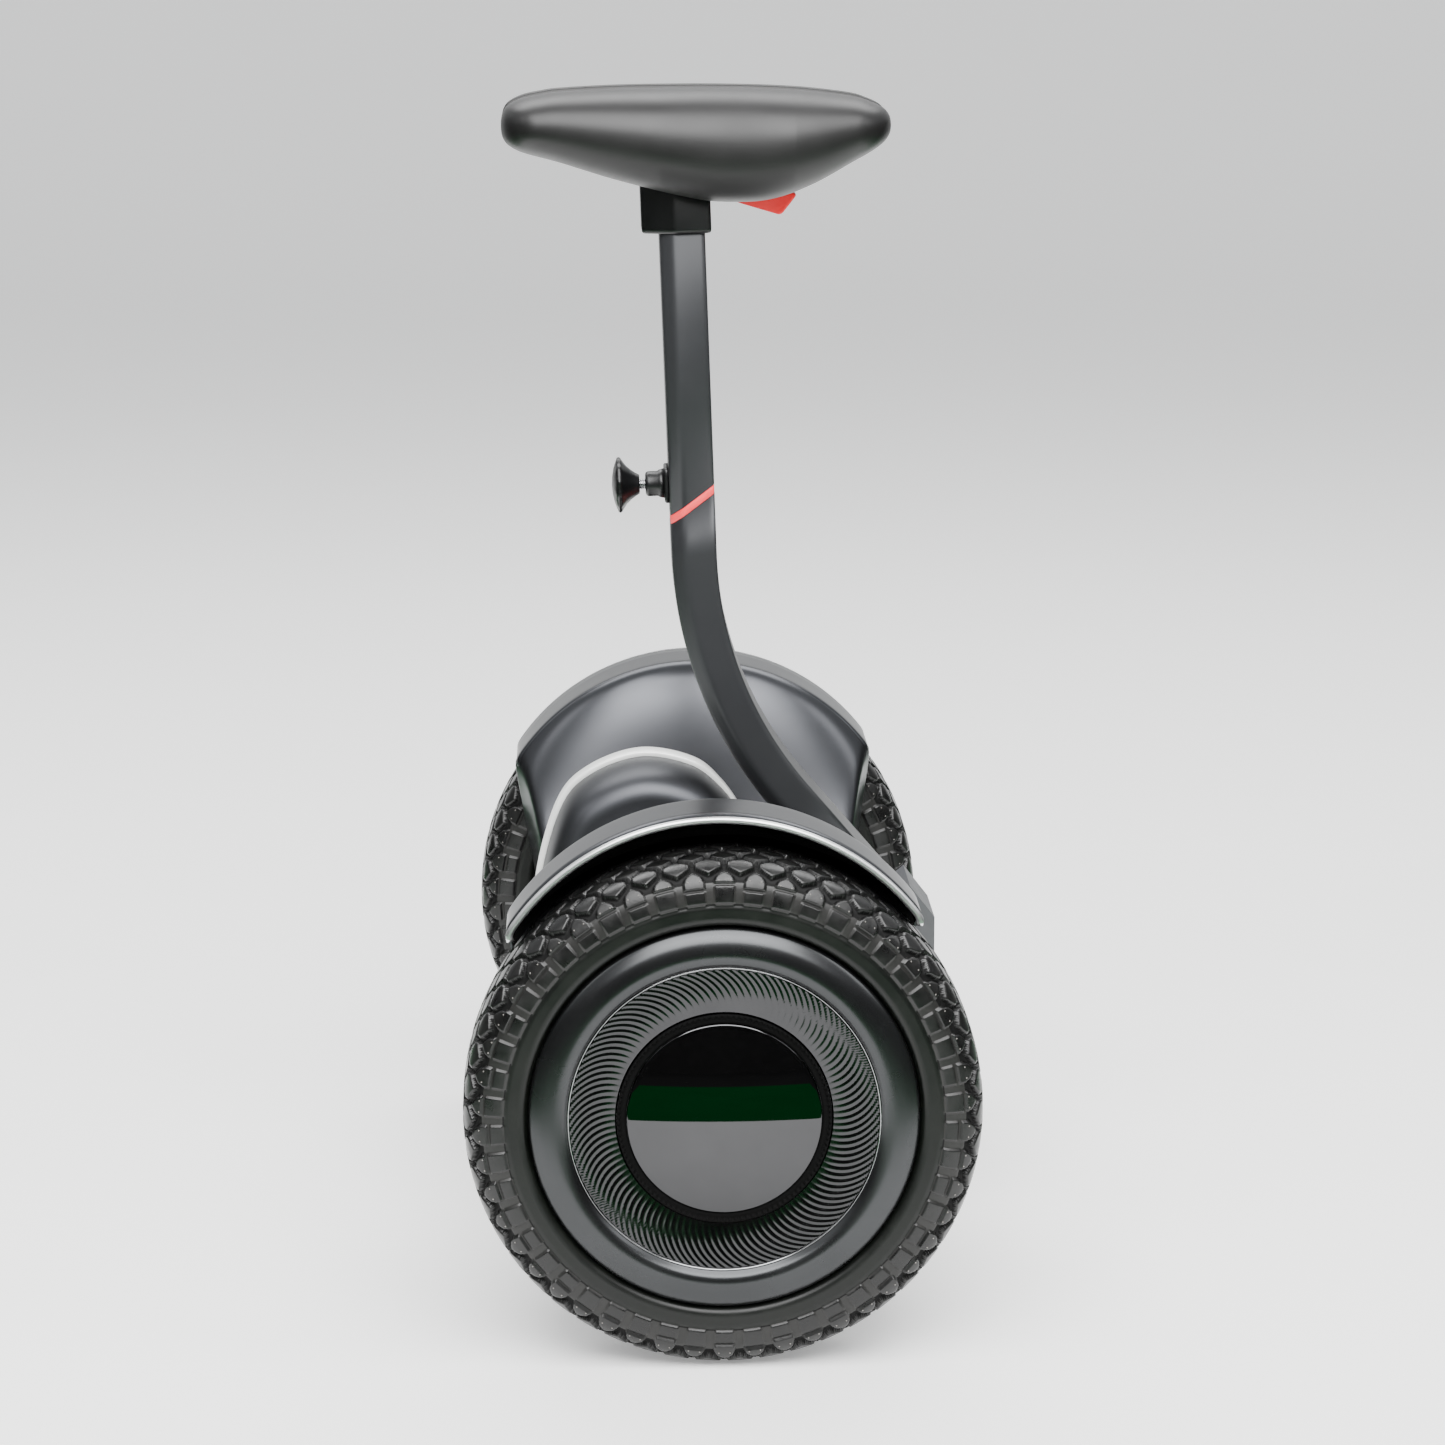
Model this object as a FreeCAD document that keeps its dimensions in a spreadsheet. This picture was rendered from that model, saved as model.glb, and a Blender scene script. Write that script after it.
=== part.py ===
"""Two-wheeled self-balancing vehicle with a knee-steering post.

Millimetres. +X is forward, +Y is the rider's left, +Z is up. The origin is on the ground, under the
middle of the wheel axis. Every sub-part is an object of one document, named by its Label.
"""
import FreeCAD, Part

import math
import os
import re

import Sketcher
from FreeCAD import Placement, Rotation, Vector

doc = FreeCAD.newDocument("self_balancing_vehicle")
sheet = doc.addObject("Spreadsheet::Sheet", "sizes")

SIZES = {
    # wheels
    "track": 476.0, "axle_height": 133.5, "tyre_radius": 133.5, "tyre_width": 68.0, "tyre_wall": 7.5,
    "rim_radius": 96.7, "rim_wall": 7.7, "bead_radius": 101.5, "motor_half": 27.0, "disc_wall": 5.0,
    "stator_radius": 81.0, "stator_half": 15.0, "air_gap": 1.0, "axle_radius": 8.0,
    "bearing_radius": 16.0, "bearing_width": 8.0, "running_gap": 0.05,
    "ring_outer": 100.0, "ring_inner": 79.5, "cap_outer": 54.8, "cap_radius": 49.7, "hub_face": 36.6,
    # body shells
    "shell_wall": 3.5, "shell_rear": 94.0, "shell_front": 90.0, "deck_height": 178.5, "split_height": 120.0,
    "belly_height": 80.0, "belly_wall": 3.0, "deck_half": 150.0, "fender_inner": 197.0, "fender_outer": 240.0,
    "ridge_height": 284.0, "well_radius": 139.5, "end_wall": 3.5,
    # frame and what it holds
    "frame_half": 168.0, "frame_rear": 84.0, "frame_front": 80.0, "frame_bottom": 112.0, "frame_top": 168.0,
    "frame_wall": 5.0, "battery_long": 210.0, "battery_wide": 124.0, "battery_tall": 36.0,
    # steering
    "pivot_height": 148.0, "pivot_radius": 8.0, "pivot_bearing": 14.0,
    "corner_ahead": -5.5, "corner_height": 304.1, "lean_angle": 2.1, "bend_angle": 38.6, "bend_radius": 225.0,
    "tube_deep": 25.0, "tube_wide": 42.0, "tube_wall": 2.0, "tube_chamfer": 7.0, "foot_length": 158.0,
    "stripe_rear": 95.5, "stripe_front": 113.0, "stripe_tall": 5.0, "sleeve_top": 275.0, "inner_top": 250.0,
    "collar_bottom": 254.0, "collar_top": 275.5, "clamp_height": 117.0, "knob_radius": 15.6,
    # hump, mats and pads
    "hump_half": 46.0, "trim_half": 5.0, "trim_proud": 3.0,
    "mat_rise": 1.3, "mat_thick": 4.7, "mat_long": 144.0, "mat_wide": 88.0, "mat_centre": 100.0,
    "pad_inner": 13.0, "pad_outer": 58.0,
}


def fill_sheet():
    """Write each size on a row of its own, with its word as the alias."""
    for row, (word, value) in enumerate(SIZES.items(), start=1):
        sheet.set(f"A{row}", word)
        sheet.set(f"B{row}", str(value))
        sheet.setAlias(f"B{row}", word)
    doc.recompute()


def cell(text):
    """Turn the size words in a formula into references to the sheet."""
    return re.sub(r"\b[a-z_]+\b", lambda found: "sizes." + found.group(0) if found.group(0) in SIZES
                  else found.group(0), str(text))


def size(text):
    """The number that a formula of size words gives now."""
    return float(sheet.evalExpression(cell(text)))


def bind(item, **formulas):
    """Tie properties of an item to formulas of size words."""
    for name, text in formulas.items():
        item.setExpression(name, cell(text))


def put(item, x=0, y=0, z=0, turn=None):
    """Place an item, with its position tied to the sheet."""
    item.Placement = Placement(Vector(0, 0, 0), turn or Rotation())
    for axis, text in (("x", x), ("y", y), ("z", z)):
        item.setExpression(f"Placement.Base.{axis}", cell(text))
    return item


ALONG = {"X": Rotation(Vector(0, 1, 0), 90), "Y": Rotation(Vector(1, 0, 0), -90), "Z": Rotation()}


def block(name, x, y, z, long, wide, tall):
    """A box from its lowest corner."""
    item = doc.addObject("Part::Box", name)
    bind(item, Length=long, Width=wide, Height=tall)
    return put(item, x, y, z)


def rod(name, x, y, z, radius, long, axis="Z"):
    """A cylinder that runs from a point along +X, +Y or +Z."""
    item = doc.addObject("Part::Cylinder", name)
    bind(item, Radius=radius, Height=long)
    return put(item, x, y, z, ALONG[axis])


def join(name, *pieces):
    """Several pieces made one solid."""
    item = doc.addObject("Part::MultiFuse", name)
    item.Shapes = list(pieces)
    return item


def group(name, *pieces):
    """Several separate solids in one node."""
    item = doc.addObject("Part::Compound", name)
    item.Links = list(pieces)
    return item


def cut(name, base, *tools):
    """A piece with one or more tools taken out of it."""
    tool = tools[0] if len(tools) == 1 else join(name + "_tools", *tools)
    item = doc.addObject("Part::Cut", name)
    item.Base = base
    item.Tool = tool
    return item


def shaped(name, shape):
    """A free-form solid as an item of the document."""
    item = doc.addObject("Part::Feature", name)
    item.Shape = shape
    return item


def outline(body, name, plane, points):
    """A closed polygon sketch on one of the body's own planes, each corner tied to the sheet."""
    sketch = body.newObject("Sketcher::SketchObject", name)
    origin = [part for part in body.Origin.OriginFeatures if part.Role == plane][0]
    sketch.AttachmentSupport = (origin, [""])
    sketch.MapMode = "FlatFace"
    add_polygon(sketch, points)
    return sketch


def add_polygon(sketch, points):
    """Add a closed polygon to a sketch; a corner is two formulas of size words."""
    first = sketch.GeometryCount
    corners = [Vector(size(across), size(up), 0) for across, up in points]
    count = len(corners)
    for index in range(count):
        sketch.addGeometry(Part.LineSegment(corners[index], corners[(index + 1) % count]), False)
    for index in range(count):
        after = first + (index + 1) % count
        sketch.addConstraint(Sketcher.Constraint("Coincident", first + index, 2, after, 1))
    for index, corner in enumerate(points):
        for kind, text in zip(("DistanceX", "DistanceY"), corner):
            number = sketch.addConstraint(
                Sketcher.Constraint(kind, -1, 1, first + index, 1, size(text)))
            sketch.setExpression(f"Constraints[{number}]", cell(text))


def turned(name, points):
    """A body turned about its own Y axis; a profile corner is (radius, place along the axis)."""
    body = doc.addObject("PartDesign::Body", name)
    sketch = outline(body, name + "_profile", "XY_Plane", points)
    revolution = body.newObject("PartDesign::Revolution", name + "_turn")
    revolution.Profile = sketch
    revolution.ReferenceAxis = (sketch, ["V_Axis"])
    revolution.Angle = 360
    sketch.Visibility = False
    return body


SIDES = {"left": 1, "right": -1}


def at_wheel(item, side):
    """Move a wheel piece to its side, its own +Y pointing outboard."""
    turn = Rotation() if side > 0 else Rotation(Vector(0, 0, 1), 180)
    return put(item, 0, f"{side} * track / 2", "axle_height", turn)


def ring(inner, outer, low, high):
    """The four corners of a plain ring's profile."""
    return [(inner, low), (outer, low), (outer, high), (inner, high)]


def wheel(word, side):
    """One hub-motor wheel: tyre, motor, bearings and hub cover, with its fixed axle and stator."""
    shoulder, wall = "tyre_width / 2", "tyre_wall"
    half_tyre = [
        ("bead_radius", f"{shoulder} - 5"), ("bead_radius + 10.5", shoulder),
        ("tyre_radius - 9.5", f"{shoulder} - 1"), ("tyre_radius - 2.5", f"{shoulder} - 7"),
        ("tyre_radius", f"{shoulder} - 14")]
    inner_tyre = [
        (f"tyre_radius - {wall}", f"{shoulder} - 15"), (f"tyre_radius - {wall} - 6", f"{shoulder} - 8"),
        ("bead_radius + 3", f"{shoulder} - 10"), ("rim_radius + 0.3", f"{shoulder} - 13"),
        ("rim_radius + 0.3", f"{shoulder} - 8")]
    loop = half_tyre + [(radius, f"-({place})") for radius, place in reversed(half_tyre)]
    loop += [(radius, f"-({place})") for radius, place in reversed(inner_tyre)] + inner_tyre
    tyre = turned(f"{word}_tyre", loop)
    shell = turned(f"{word}_motor_shell", [
        ("bearing_radius + 0.15", "motor_half - disc_wall"), ("rim_radius - rim_wall",
                "motor_half - disc_wall"),
        ("rim_radius - rim_wall", "-motor_half"), ("rim_radius", "-motor_half"),
        ("rim_radius", "motor_half + 1"),
        ("bearing_radius + 0.15", "motor_half + 1")])
    cover = turned(f"{word}_motor_cover", ring(
        "bearing_radius + 0.15", "rim_radius - 1.7", "-motor_half - disc_wall", "-motor_half"))
    magnets = turned(f"{word}_magnet_ring", ring(
        "stator_radius + air_gap", "rim_radius - rim_wall - 0.05", "1 - stator_half", "stator_half - 1"))
    ball_rings = [
        turned(f"{word}_bearing_{place}", ring("axle_radius + running_gap", "bearing_radius", low,
                                               f"{low} + bearing_width"))
        for place, low in (("inner", "-motor_half - disc_wall"), ("outer", "motor_half + 1 - bearing_width"))]
    hub_ring = turned(f"{word}_hub_ring", [
        ("ring_inner + 0.1", "motor_half + 1.2"), ("ring_outer - 1", "motor_half + 1.2"),
        ("ring_outer", "motor_half + 4"), ("ring_outer - 1", "hub_face - 2"), ("ring_outer - 5", "hub_face"),
        ("ring_inner + 8.5", "hub_face - 0.2"), ("ring_inner + 0.1", "hub_face - 3.6")])
    swirl_ring = turned(f"{word}_swirl_ring", [
        ("cap_outer + 0.1", "motor_half + 1.2"), ("ring_inner - 0.1", "motor_half + 1.2"),
        ("ring_inner - 0.1", "hub_face - 3.6"), ("ring_inner - 13", "hub_face - 6.2"),
        ("cap_outer + 0.1", "hub_face - 4.8")])
    hub_cap = turned(f"{word}_hub_cap", [
        ("0", "motor_half + 1.2"), ("cap_outer - 0.2", "motor_half + 1.2"),
        ("cap_outer - 0.2", "hub_face - 6"),
        ("cap_radius + 0.3", "hub_face - 6"), ("cap_radius", "hub_face - 3.2"),
        ("cap_radius - 15", "hub_face - 1.8"),
        ("cap_radius - 32", "hub_face - 0.9"), ("0", "hub_face - 0.6")])
    for item in (tyre, shell, cover, magnets, hub_ring, swirl_ring, hub_cap, *ball_rings):
        at_wheel(item, side)
    bearings = group(f"{word}_wheel_bearings", *ball_rings)
    axle = turned(f"{word}_axle", ring("0", "axle_radius", "112 - track / 2", "motor_half"))
    stator = turned(f"{word}_stator", ring("axle_radius + 0.02", "stator_radius", "-stator_half",
                                           "stator_half"))
    for item in (axle, stator):
        at_wheel(item, side)
    return [tyre, shell, cover, magnets, bearings, hub_ring, swirl_ring, hub_cap, axle, stator]


def ease(share):
    """A smooth rise from 0 to 1, flat at both ends."""
    return share * share * (3 - 2 * share)


def body_section(y, share, inset=0.0):
    """The fore-and-aft outline of the body at one distance from the middle.

    share is 0 on the flat deck and 1 at the fender's ridge; inset draws the outline in for a wall.
    """
    rise = ease(share)
    rear = -(size("shell_rear") - 4 + 22 * share) + inset
    front = size("shell_front") - 4 + 18 * share - inset
    low = size("split_height") - (1 if inset else 0)
    rear_top = size("deck_height") - 2.5 + 47 * rise - inset
    front_top = size("deck_height") - 2.5 + 54 * rise - inset
    crest = size("deck_height") + (size("ridge_height") - size("deck_height")) * rise - inset
    rear_low = Vector(-size("shell_rear") + inset, y, low)
    front_low = Vector(size("shell_front") - inset, y, low)
    rear_high, front_high = Vector(rear, y, rear_top), Vector(front, y, front_top)
    arch = Part.Arc(rear_high, Vector((rear + front) / 2, y, crest), front_high).toShape()
    return Part.Wire([Part.makeLine(rear_low, rear_high), arch, Part.makeLine(front_high, front_low),
                      Part.makeLine(front_low, rear_low)])


def fender_shape():
    """The left fender: a skin that sweeps up from the deck, and the arch over the wheel."""
    wall, start, wheel_side = size("shell_wall"), size("deck_half"), size("fender_inner")
    shares = [step / 10 for step in range(11)]
    reach = wheel_side - size("end_wall") - start
    outer = Part.makeLoft([body_section(start + reach * share, share) for share in shares], True, True)
    inner = Part.makeLoft([body_section(start - 1 + (reach + 1) * share, share, wall) for share in shares],
                          True, True)
    last = body_section(wheel_side - size("end_wall"), 1.0)
    end_plate = Part.Face(last).extrude(Vector(0, size("end_wall"), 0))
    lip_start, lip_end = wheel_side, size("fender_outer")
    corners = [Vector(-104, lip_start, 207), Vector(-112, lip_start, 222.5), Vector(104, lip_start, 229.5),
               Vector(97, lip_start, 214)]
    crest = Vector(-4, lip_start, size("ridge_height"))
    lip_outline = Part.Wire([
        Part.makeLine(corners[0], corners[1]), Part.Arc(corners[1], crest, corners[2]).toShape(),
        Part.makeLine(corners[2], corners[3]), Part.makeLine(corners[3], corners[0])])
    lip = Part.Face(lip_outline).extrude(Vector(0, lip_end - lip_start, 0))
    well = Part.makeCylinder(size("well_radius"), lip_end, Vector(0, wheel_side, size("axle_height")),
                             Vector(0, 1, 0))
    axle_hole = Part.makeCylinder(size("axle_radius") + 2, 100, Vector(0, start, size("axle_height")),
                                  Vector(0, 1, 0))
    return outer.cut(inner).fuse([end_plate, lip.cut(well)]).removeSplitter().cut(axle_hole)


def deck_shape():
    """The deck between the fenders: a thin skin, open below, with its openings."""
    half = size("deck_half")
    outer = Part.Face(body_section(-half, 0)).extrude(Vector(0, 2 * half, 0))
    inner = Part.Face(body_section(-half - 1, 0, size("shell_wall"))).extrude(Vector(0, 2 * half + 2, 0))
    return outer.cut(inner)


def hump_profile():
    """The hump's side outline as one smooth line from its rear foot to its front foot."""
    rear, foot = -96.0, size("deck_height") - 28
    points = [(rear, foot), (rear + 1, 195), (-83, 238.5), (-66.5, 257), (-38.4, 267), (-10.3, 262),
              (6, 249.5), (19, 232), (38, 204), (57, 172), (62, foot)]
    return [Vector(x, 0, z) for x, z in points]


def hump_section(y, grow):
    """The hump's outline at one distance from the middle; grow makes it larger or smaller all round."""
    fullness = (1 - min(1.0, abs(y) / size("hump_half")) ** 2.6) ** (1 / 2.6)
    centre, base = -17.0, size("deck_height") - 28
    points = [Vector(centre + (p.x - centre) * (0.86 + 0.14 * fullness) * grow, y,
                     base + (p.z - base) * (0.72 + 0.28 * fullness) * grow) for p in hump_profile()]
    curve = Part.BSplineCurve()
    curve.interpolate(points)
    return Part.Wire([curve.toShape(), Part.makeLine(points[-1], points[0])])


def hump_solid(grow):
    """The whole hump as a filled solid, from one side to the other."""
    half = size("hump_half") * grow
    shares = [-0.97, -0.86, -0.62, -0.3, 0.0, 0.3, 0.62, 0.86, 0.97]
    return Part.makeLoft([hump_section(half * share, grow) for share in shares], True)


def trim_shape():
    """The slim bright strip that stands proud along the hump's crest."""
    half = size("trim_half")
    crest = Part.BSplineCurve()
    crest.interpolate(hump_profile())
    steps = 24
    edges = []
    for lift in (0.05, size("trim_proud")):
        points = []
        for step in range(steps + 1):
            here = crest.FirstParameter + (crest.LastParameter - crest.FirstParameter) * step / steps
            along = crest.tangent(here)[0]
            points.append(crest.value(here) + Vector(-along.z, -half / lift, along.x) * lift)
        curve = Part.BSplineCurve()
        curve.interpolate(points)
        edges.append((curve.toShape(), points))
    (inner, near), (outer, far) = edges
    loop = Part.Wire([inner, Part.makeLine(near[-1], far[-1]), outer, Part.makeLine(far[0], near[0])])
    return Part.Face(loop).extrude(Vector(0, 2 * half, 0))


PAD_STATIONS = [(-110.5, 617, 627), (-104, 611.5, 635.5), (-80.7, 603, 638.5), (-50, 593.5, 640.3),
                (-16.6, 585, 641), (4.8, 581, 641), (31.6, 582, 640.3), (55, 590, 639), (78, 603.5, 635.5),
                (90.5, 611.5, 630), (95, 617, 625)]


def pad_shape(side):
    """One knee pad: a boat-shaped cushion with a flat inboard face."""
    inner, outer = side * size("pad_inner"), side * size("pad_outer")
    wires = []
    for x, low, high in PAD_STATIONS:
        share = min(1.0, (high - low) / 55.0)
        reach = (outer - inner) * (0.55 + 0.45 * share)
        turns = [math.pi * (step / 8 - 0.5) for step in range(9)]
        points = [Vector(x, inner + reach * abs(math.cos(turn)) ** 0.7,
                         (low + high) / 2 + (high - low) / 2 * math.sin(turn))
                  for turn in turns]
        belly = Part.BSplineCurve()
        belly.interpolate(points)
        wires.append(Part.Wire([belly.toShape(), Part.makeLine(points[-1], points[0])]))
    return Part.makeLoft(wires, True, True)


def post_place():
    """The tilted place of everything on the steering post: its origin is the post's corner."""
    return Placement(Vector(size("corner_ahead"), 0, size("corner_height")),
                     Rotation(Vector(0, 1, 0), -size("lean_angle")))


def tube_outline(inset):
    """The tube's section, square in front and chamfered behind, drawn in by a wall."""
    deep, wide = f"(tube_deep / 2 - ({inset}))", f"(tube_wide / 2 - ({inset}))"
    edge = f"(tube_chamfer - 0.6 * ({inset}))"
    return [(deep, f"-{wide}"), (deep, wide), (f"{edge} - {deep}", wide), (f"-{deep}", f"{wide} - {edge}"),
            (f"-{deep}", f"{edge} - {wide}"), (f"{edge} - {deep}", f"-{wide}")]


def raised(name, outlines, low, high):
    """A body padded between two heights of the post from one or more closed outlines."""
    body = doc.addObject("PartDesign::Body", name)
    sketch = outline(body, name + "_section", "XY_Plane", outlines[0])
    for points in outlines[1:]:
        add_polygon(sketch, points)
    sketch.AttachmentOffset = Placement(Vector(0, 0, size(low)), Rotation())
    sketch.setExpression("AttachmentOffset.Base.z", cell(low))
    pad = body.newObject("PartDesign::Pad", name + "_pad")
    pad.Profile = sketch
    bind(pad, Length=f"({high}) - ({low})")
    sketch.Visibility = False
    return body


def below_slant(rise):
    """A side-view outline of everything under the slanted joint line, moved up by rise."""
    half = "tube_deep / 2"
    slope = f"(stripe_front - stripe_rear) / tube_deep * 8"
    return [(f"{half} + 8", f"stripe_front + {slope} + {rise}"),
            (f"-{half} - 8", f"stripe_rear - {slope} + {rise}"),
            (f"-{half} - 8", "-60"), (f"{half} + 8", "-60")]


def above_slant(rise):
    """A side-view outline of everything over the slanted joint line, moved up by rise."""
    corners = below_slant(rise)
    return corners[:2] + [(corners[2][0], "400"), (corners[3][0], "400")]


def lower_stem_shape():
    """The bent lower tube: straight down from the joint line, round the bend, and on to its foot."""
    reach = size("bend_radius") * math.tan(math.radians(size("bend_angle") / 2))
    turn = math.radians(size("bend_angle"))
    top, start = Vector(0, 0, size("stripe_front") + 8), Vector(0, 0, reach)
    centre = Vector(size("bend_radius"), 0, reach)
    half_turn = turn / 2
    middle = centre + Vector(-math.cos(half_turn), 0, -math.sin(half_turn)) * size("bend_radius")
    end = centre + Vector(-math.cos(turn), 0, -math.sin(turn)) * size("bend_radius")
    foot = end + Vector(math.sin(turn), 0, -math.cos(turn)) * (size("foot_length") - reach)
    path = Part.Wire([Part.makeLine(top, start), Part.Arc(start, middle, end).toShape(),
                      Part.makeLine(end, foot)])
    skins = []
    for inset in (0, size("tube_wall")):
        corners = [Vector(size(x), size(y), top.z) for x, y in tube_outline(inset)]
        section = Part.Wire(Part.makePolygon(corners + corners[:1]))
        skins.append(path.makePipeShell([section], True, False, 1))
    tube = skins[0].cut(skins[1])
    slant = [Vector(size(x), -100, size(z)) for x, z in above_slant("0")]
    cutter = Part.Face(Part.makePolygon(slant + slant[:1])).extrude(Vector(0, 200, 0))
    return tube.cut(cutter)


def plan_bar(corners, low, tall):
    """A straight bar up the post from a closed plan outline."""
    points = [Vector(size(x), size(y), low) for x, y in corners]
    return Part.Face(Part.makePolygon(points + points[:1])).extrude(Vector(0, 0, tall))


def slanted_ring(outside, inside, side_view):
    """A hollow bar kept only within a slanted side-view outline."""
    points = [Vector(size(x), -50, size(z)) for x, z in side_view]
    band = Part.Face(Part.makePolygon(points + points[:1])).extrude(Vector(0, 100, 0))
    return band.common(plan_bar(outside, 60, 100)).cut(plan_bar(inside, 50, 120))


def steering_post():
    """The steering post: bent stem, joint stripe, inner tube, sliding sleeve and its clamp."""
    place = post_place()
    lower_stem = shaped("lower_stem", lower_stem_shape())
    inner_deep = "(tube_deep - 2 * tube_wall - 2.2)"
    bush_hole = tube_outline("tube_wall + 1")
    under, over = below_slant("0.05")[:2], below_slant("stripe_tall")[:2]
    stripe = shaped("stripe_ring", slanted_ring(tube_outline("0"), bush_hole, under + over[::-1]))
    inner_tube = raised("inner_tube", [tube_outline("tube_wall + 1.1"), tube_outline("tube_wall + 3.1")],
                        "84", "inner_top")
    sleeve = raised("sleeve_bar", [tube_outline("0"), tube_outline("tube_wall")], "stripe_rear - 10",
                    "sleeve_top")
    sleeve_end = side_outline_solid("sleeve_end", below_slant("stripe_tall + 0.1"), "50")
    guide_bush = raised("guide_bush", [tube_outline("tube_wall + 0.05"), bush_hole], "135", "165")
    rear = "(-tube_deep / 2)"
    shoe_bore = rod("shoe_bore", f"{rear} - 6.5", 0, "clamp_height", "4.2", "12", "X")
    drilled = cut("upper_tube", sleeve, shoe_bore, sleeve_end)
    plate = block("boss_plate", f"{rear} - 2.5", "-12", "clamp_height - 10", "2.4", "24", "20")
    barrel = rod("boss_barrel", f"{rear} - 12.8", 0, "clamp_height", "7", "11", "X")
    screw_bore = rod("screw_bore", f"{rear} - 14", 0, "clamp_height", "3.05", "12", "X")
    wide_bore = rod("wide_bore", f"{rear} - 6.5", 0, "clamp_height", "4.2", "12", "X")
    boss = cut("clamp_boss", join("boss_solid", plate, barrel), screw_bore, wide_bore)
    shoe = join("clamp_shoe", rod("shoe_disc", f"-{inner_deep} / 2 - 4.4", 0, "clamp_height", "4", "3.4",
                                  "X"),
                rod("shoe_nose", f"-{inner_deep} / 2 - 2", 0, "clamp_height", "3.2", "2", "X"))
    cone = doc.addObject("Part::Cone", "knob_cone")
    bind(cone, Radius1="knob_radius", Radius2="5.5", Height="10.5")
    put(cone, f"{rear} - 26.5", 0, "clamp_height", ALONG["X"])
    face = rod("knob_face", f"{rear} - 28.5", 0, "clamp_height", "knob_radius", "2", "X")
    screw = rod("knob_screw", f"{rear} - 16", 0, "clamp_height", "3", "14", "X")
    knob = join("clamp_knob", cone, face)
    screw_cut = cut("clamp_screw", screw, rod("shoe_face", f"-{inner_deep} / 2 - 4.5", 0, "clamp_height",
                                              "5", "4", "X"))
    collar_plan = [("16", "-24"), ("16", "24"), ("-4", "24"), ("-22", "12"), ("-22", "-12"), ("-4", "-24")]
    collar = raised("collar", [collar_plan, tube_outline("-0.1")], "collar_bottom", "collar_top")
    for item in (lower_stem, stripe, inner_tube, drilled, guide_bush, boss, shoe, knob, screw_cut, collar):
        item.Placement = place
    return {"lower_stem": lower_stem, "stripe_ring": stripe, "inner_tube": inner_tube, "upper_tube": drilled,
            "guide_bush": guide_bush, "clamp_boss": boss, "clamp_shoe": shoe, "clamp_knob": knob,
            "clamp_screw": screw_cut, "collar": collar}


def side_outline_solid(name, corners, half):
    """A body padded both ways from a side-view outline on the middle plane."""
    body = doc.addObject("PartDesign::Body", name)
    sketch = outline(body, name + "_outline", "XZ_Plane", corners)
    pad = body.newObject("PartDesign::Pad", name + "_pad")
    pad.Profile = sketch
    pad.Midplane = True
    bind(pad, Length=f"2 * ({half})")
    sketch.Visibility = False
    return body


def knee_bar():
    """What sits on the collar: pad frame, release lever and its pin, and the two knee pads."""
    spine = block("spine", "-70", "-pad_inner + 0.1", "603", "128", "2 * pad_inner - 0.2", "18")
    neck = block("neck", "-30", "-11", "579.6", "26", "22", "24")
    ears = block("ears", "-6", "-12", "586", "14", "24", "18")
    ear_slot = block("ear_slot", "-8", "-9.4", "580", "120", "18.8", "21.5")
    pin_hole = rod("pin_hole", "1", "-20", "594", "2.05", "40", "Y")
    frame = cut("pad_frame", join("pad_frame_solid", spine, neck, ears), ear_slot, pin_hole)
    pin = rod("lever_pin", "1", "-12", "594", "2", "24", "Y")
    lever_solid = side_outline_solid("lever_solid", [
        ("-3", "590"), ("-3", "598"), ("8", "598"), ("47", "583"), ("38", "571.5"), ("14", "578")], "9")
    lever = cut("release_lever", lever_solid, rod("lever_bore", "1", "-20", "594", "2.05", "40", "Y"))
    pads = {f"{word}_knee_pad": shaped(f"{word}_knee_pad", pad_shape(side)) for word, side in SIDES.items()}
    return {"pad_frame": frame, "lever_pin": pin, "release_lever": lever, **pads}


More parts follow.
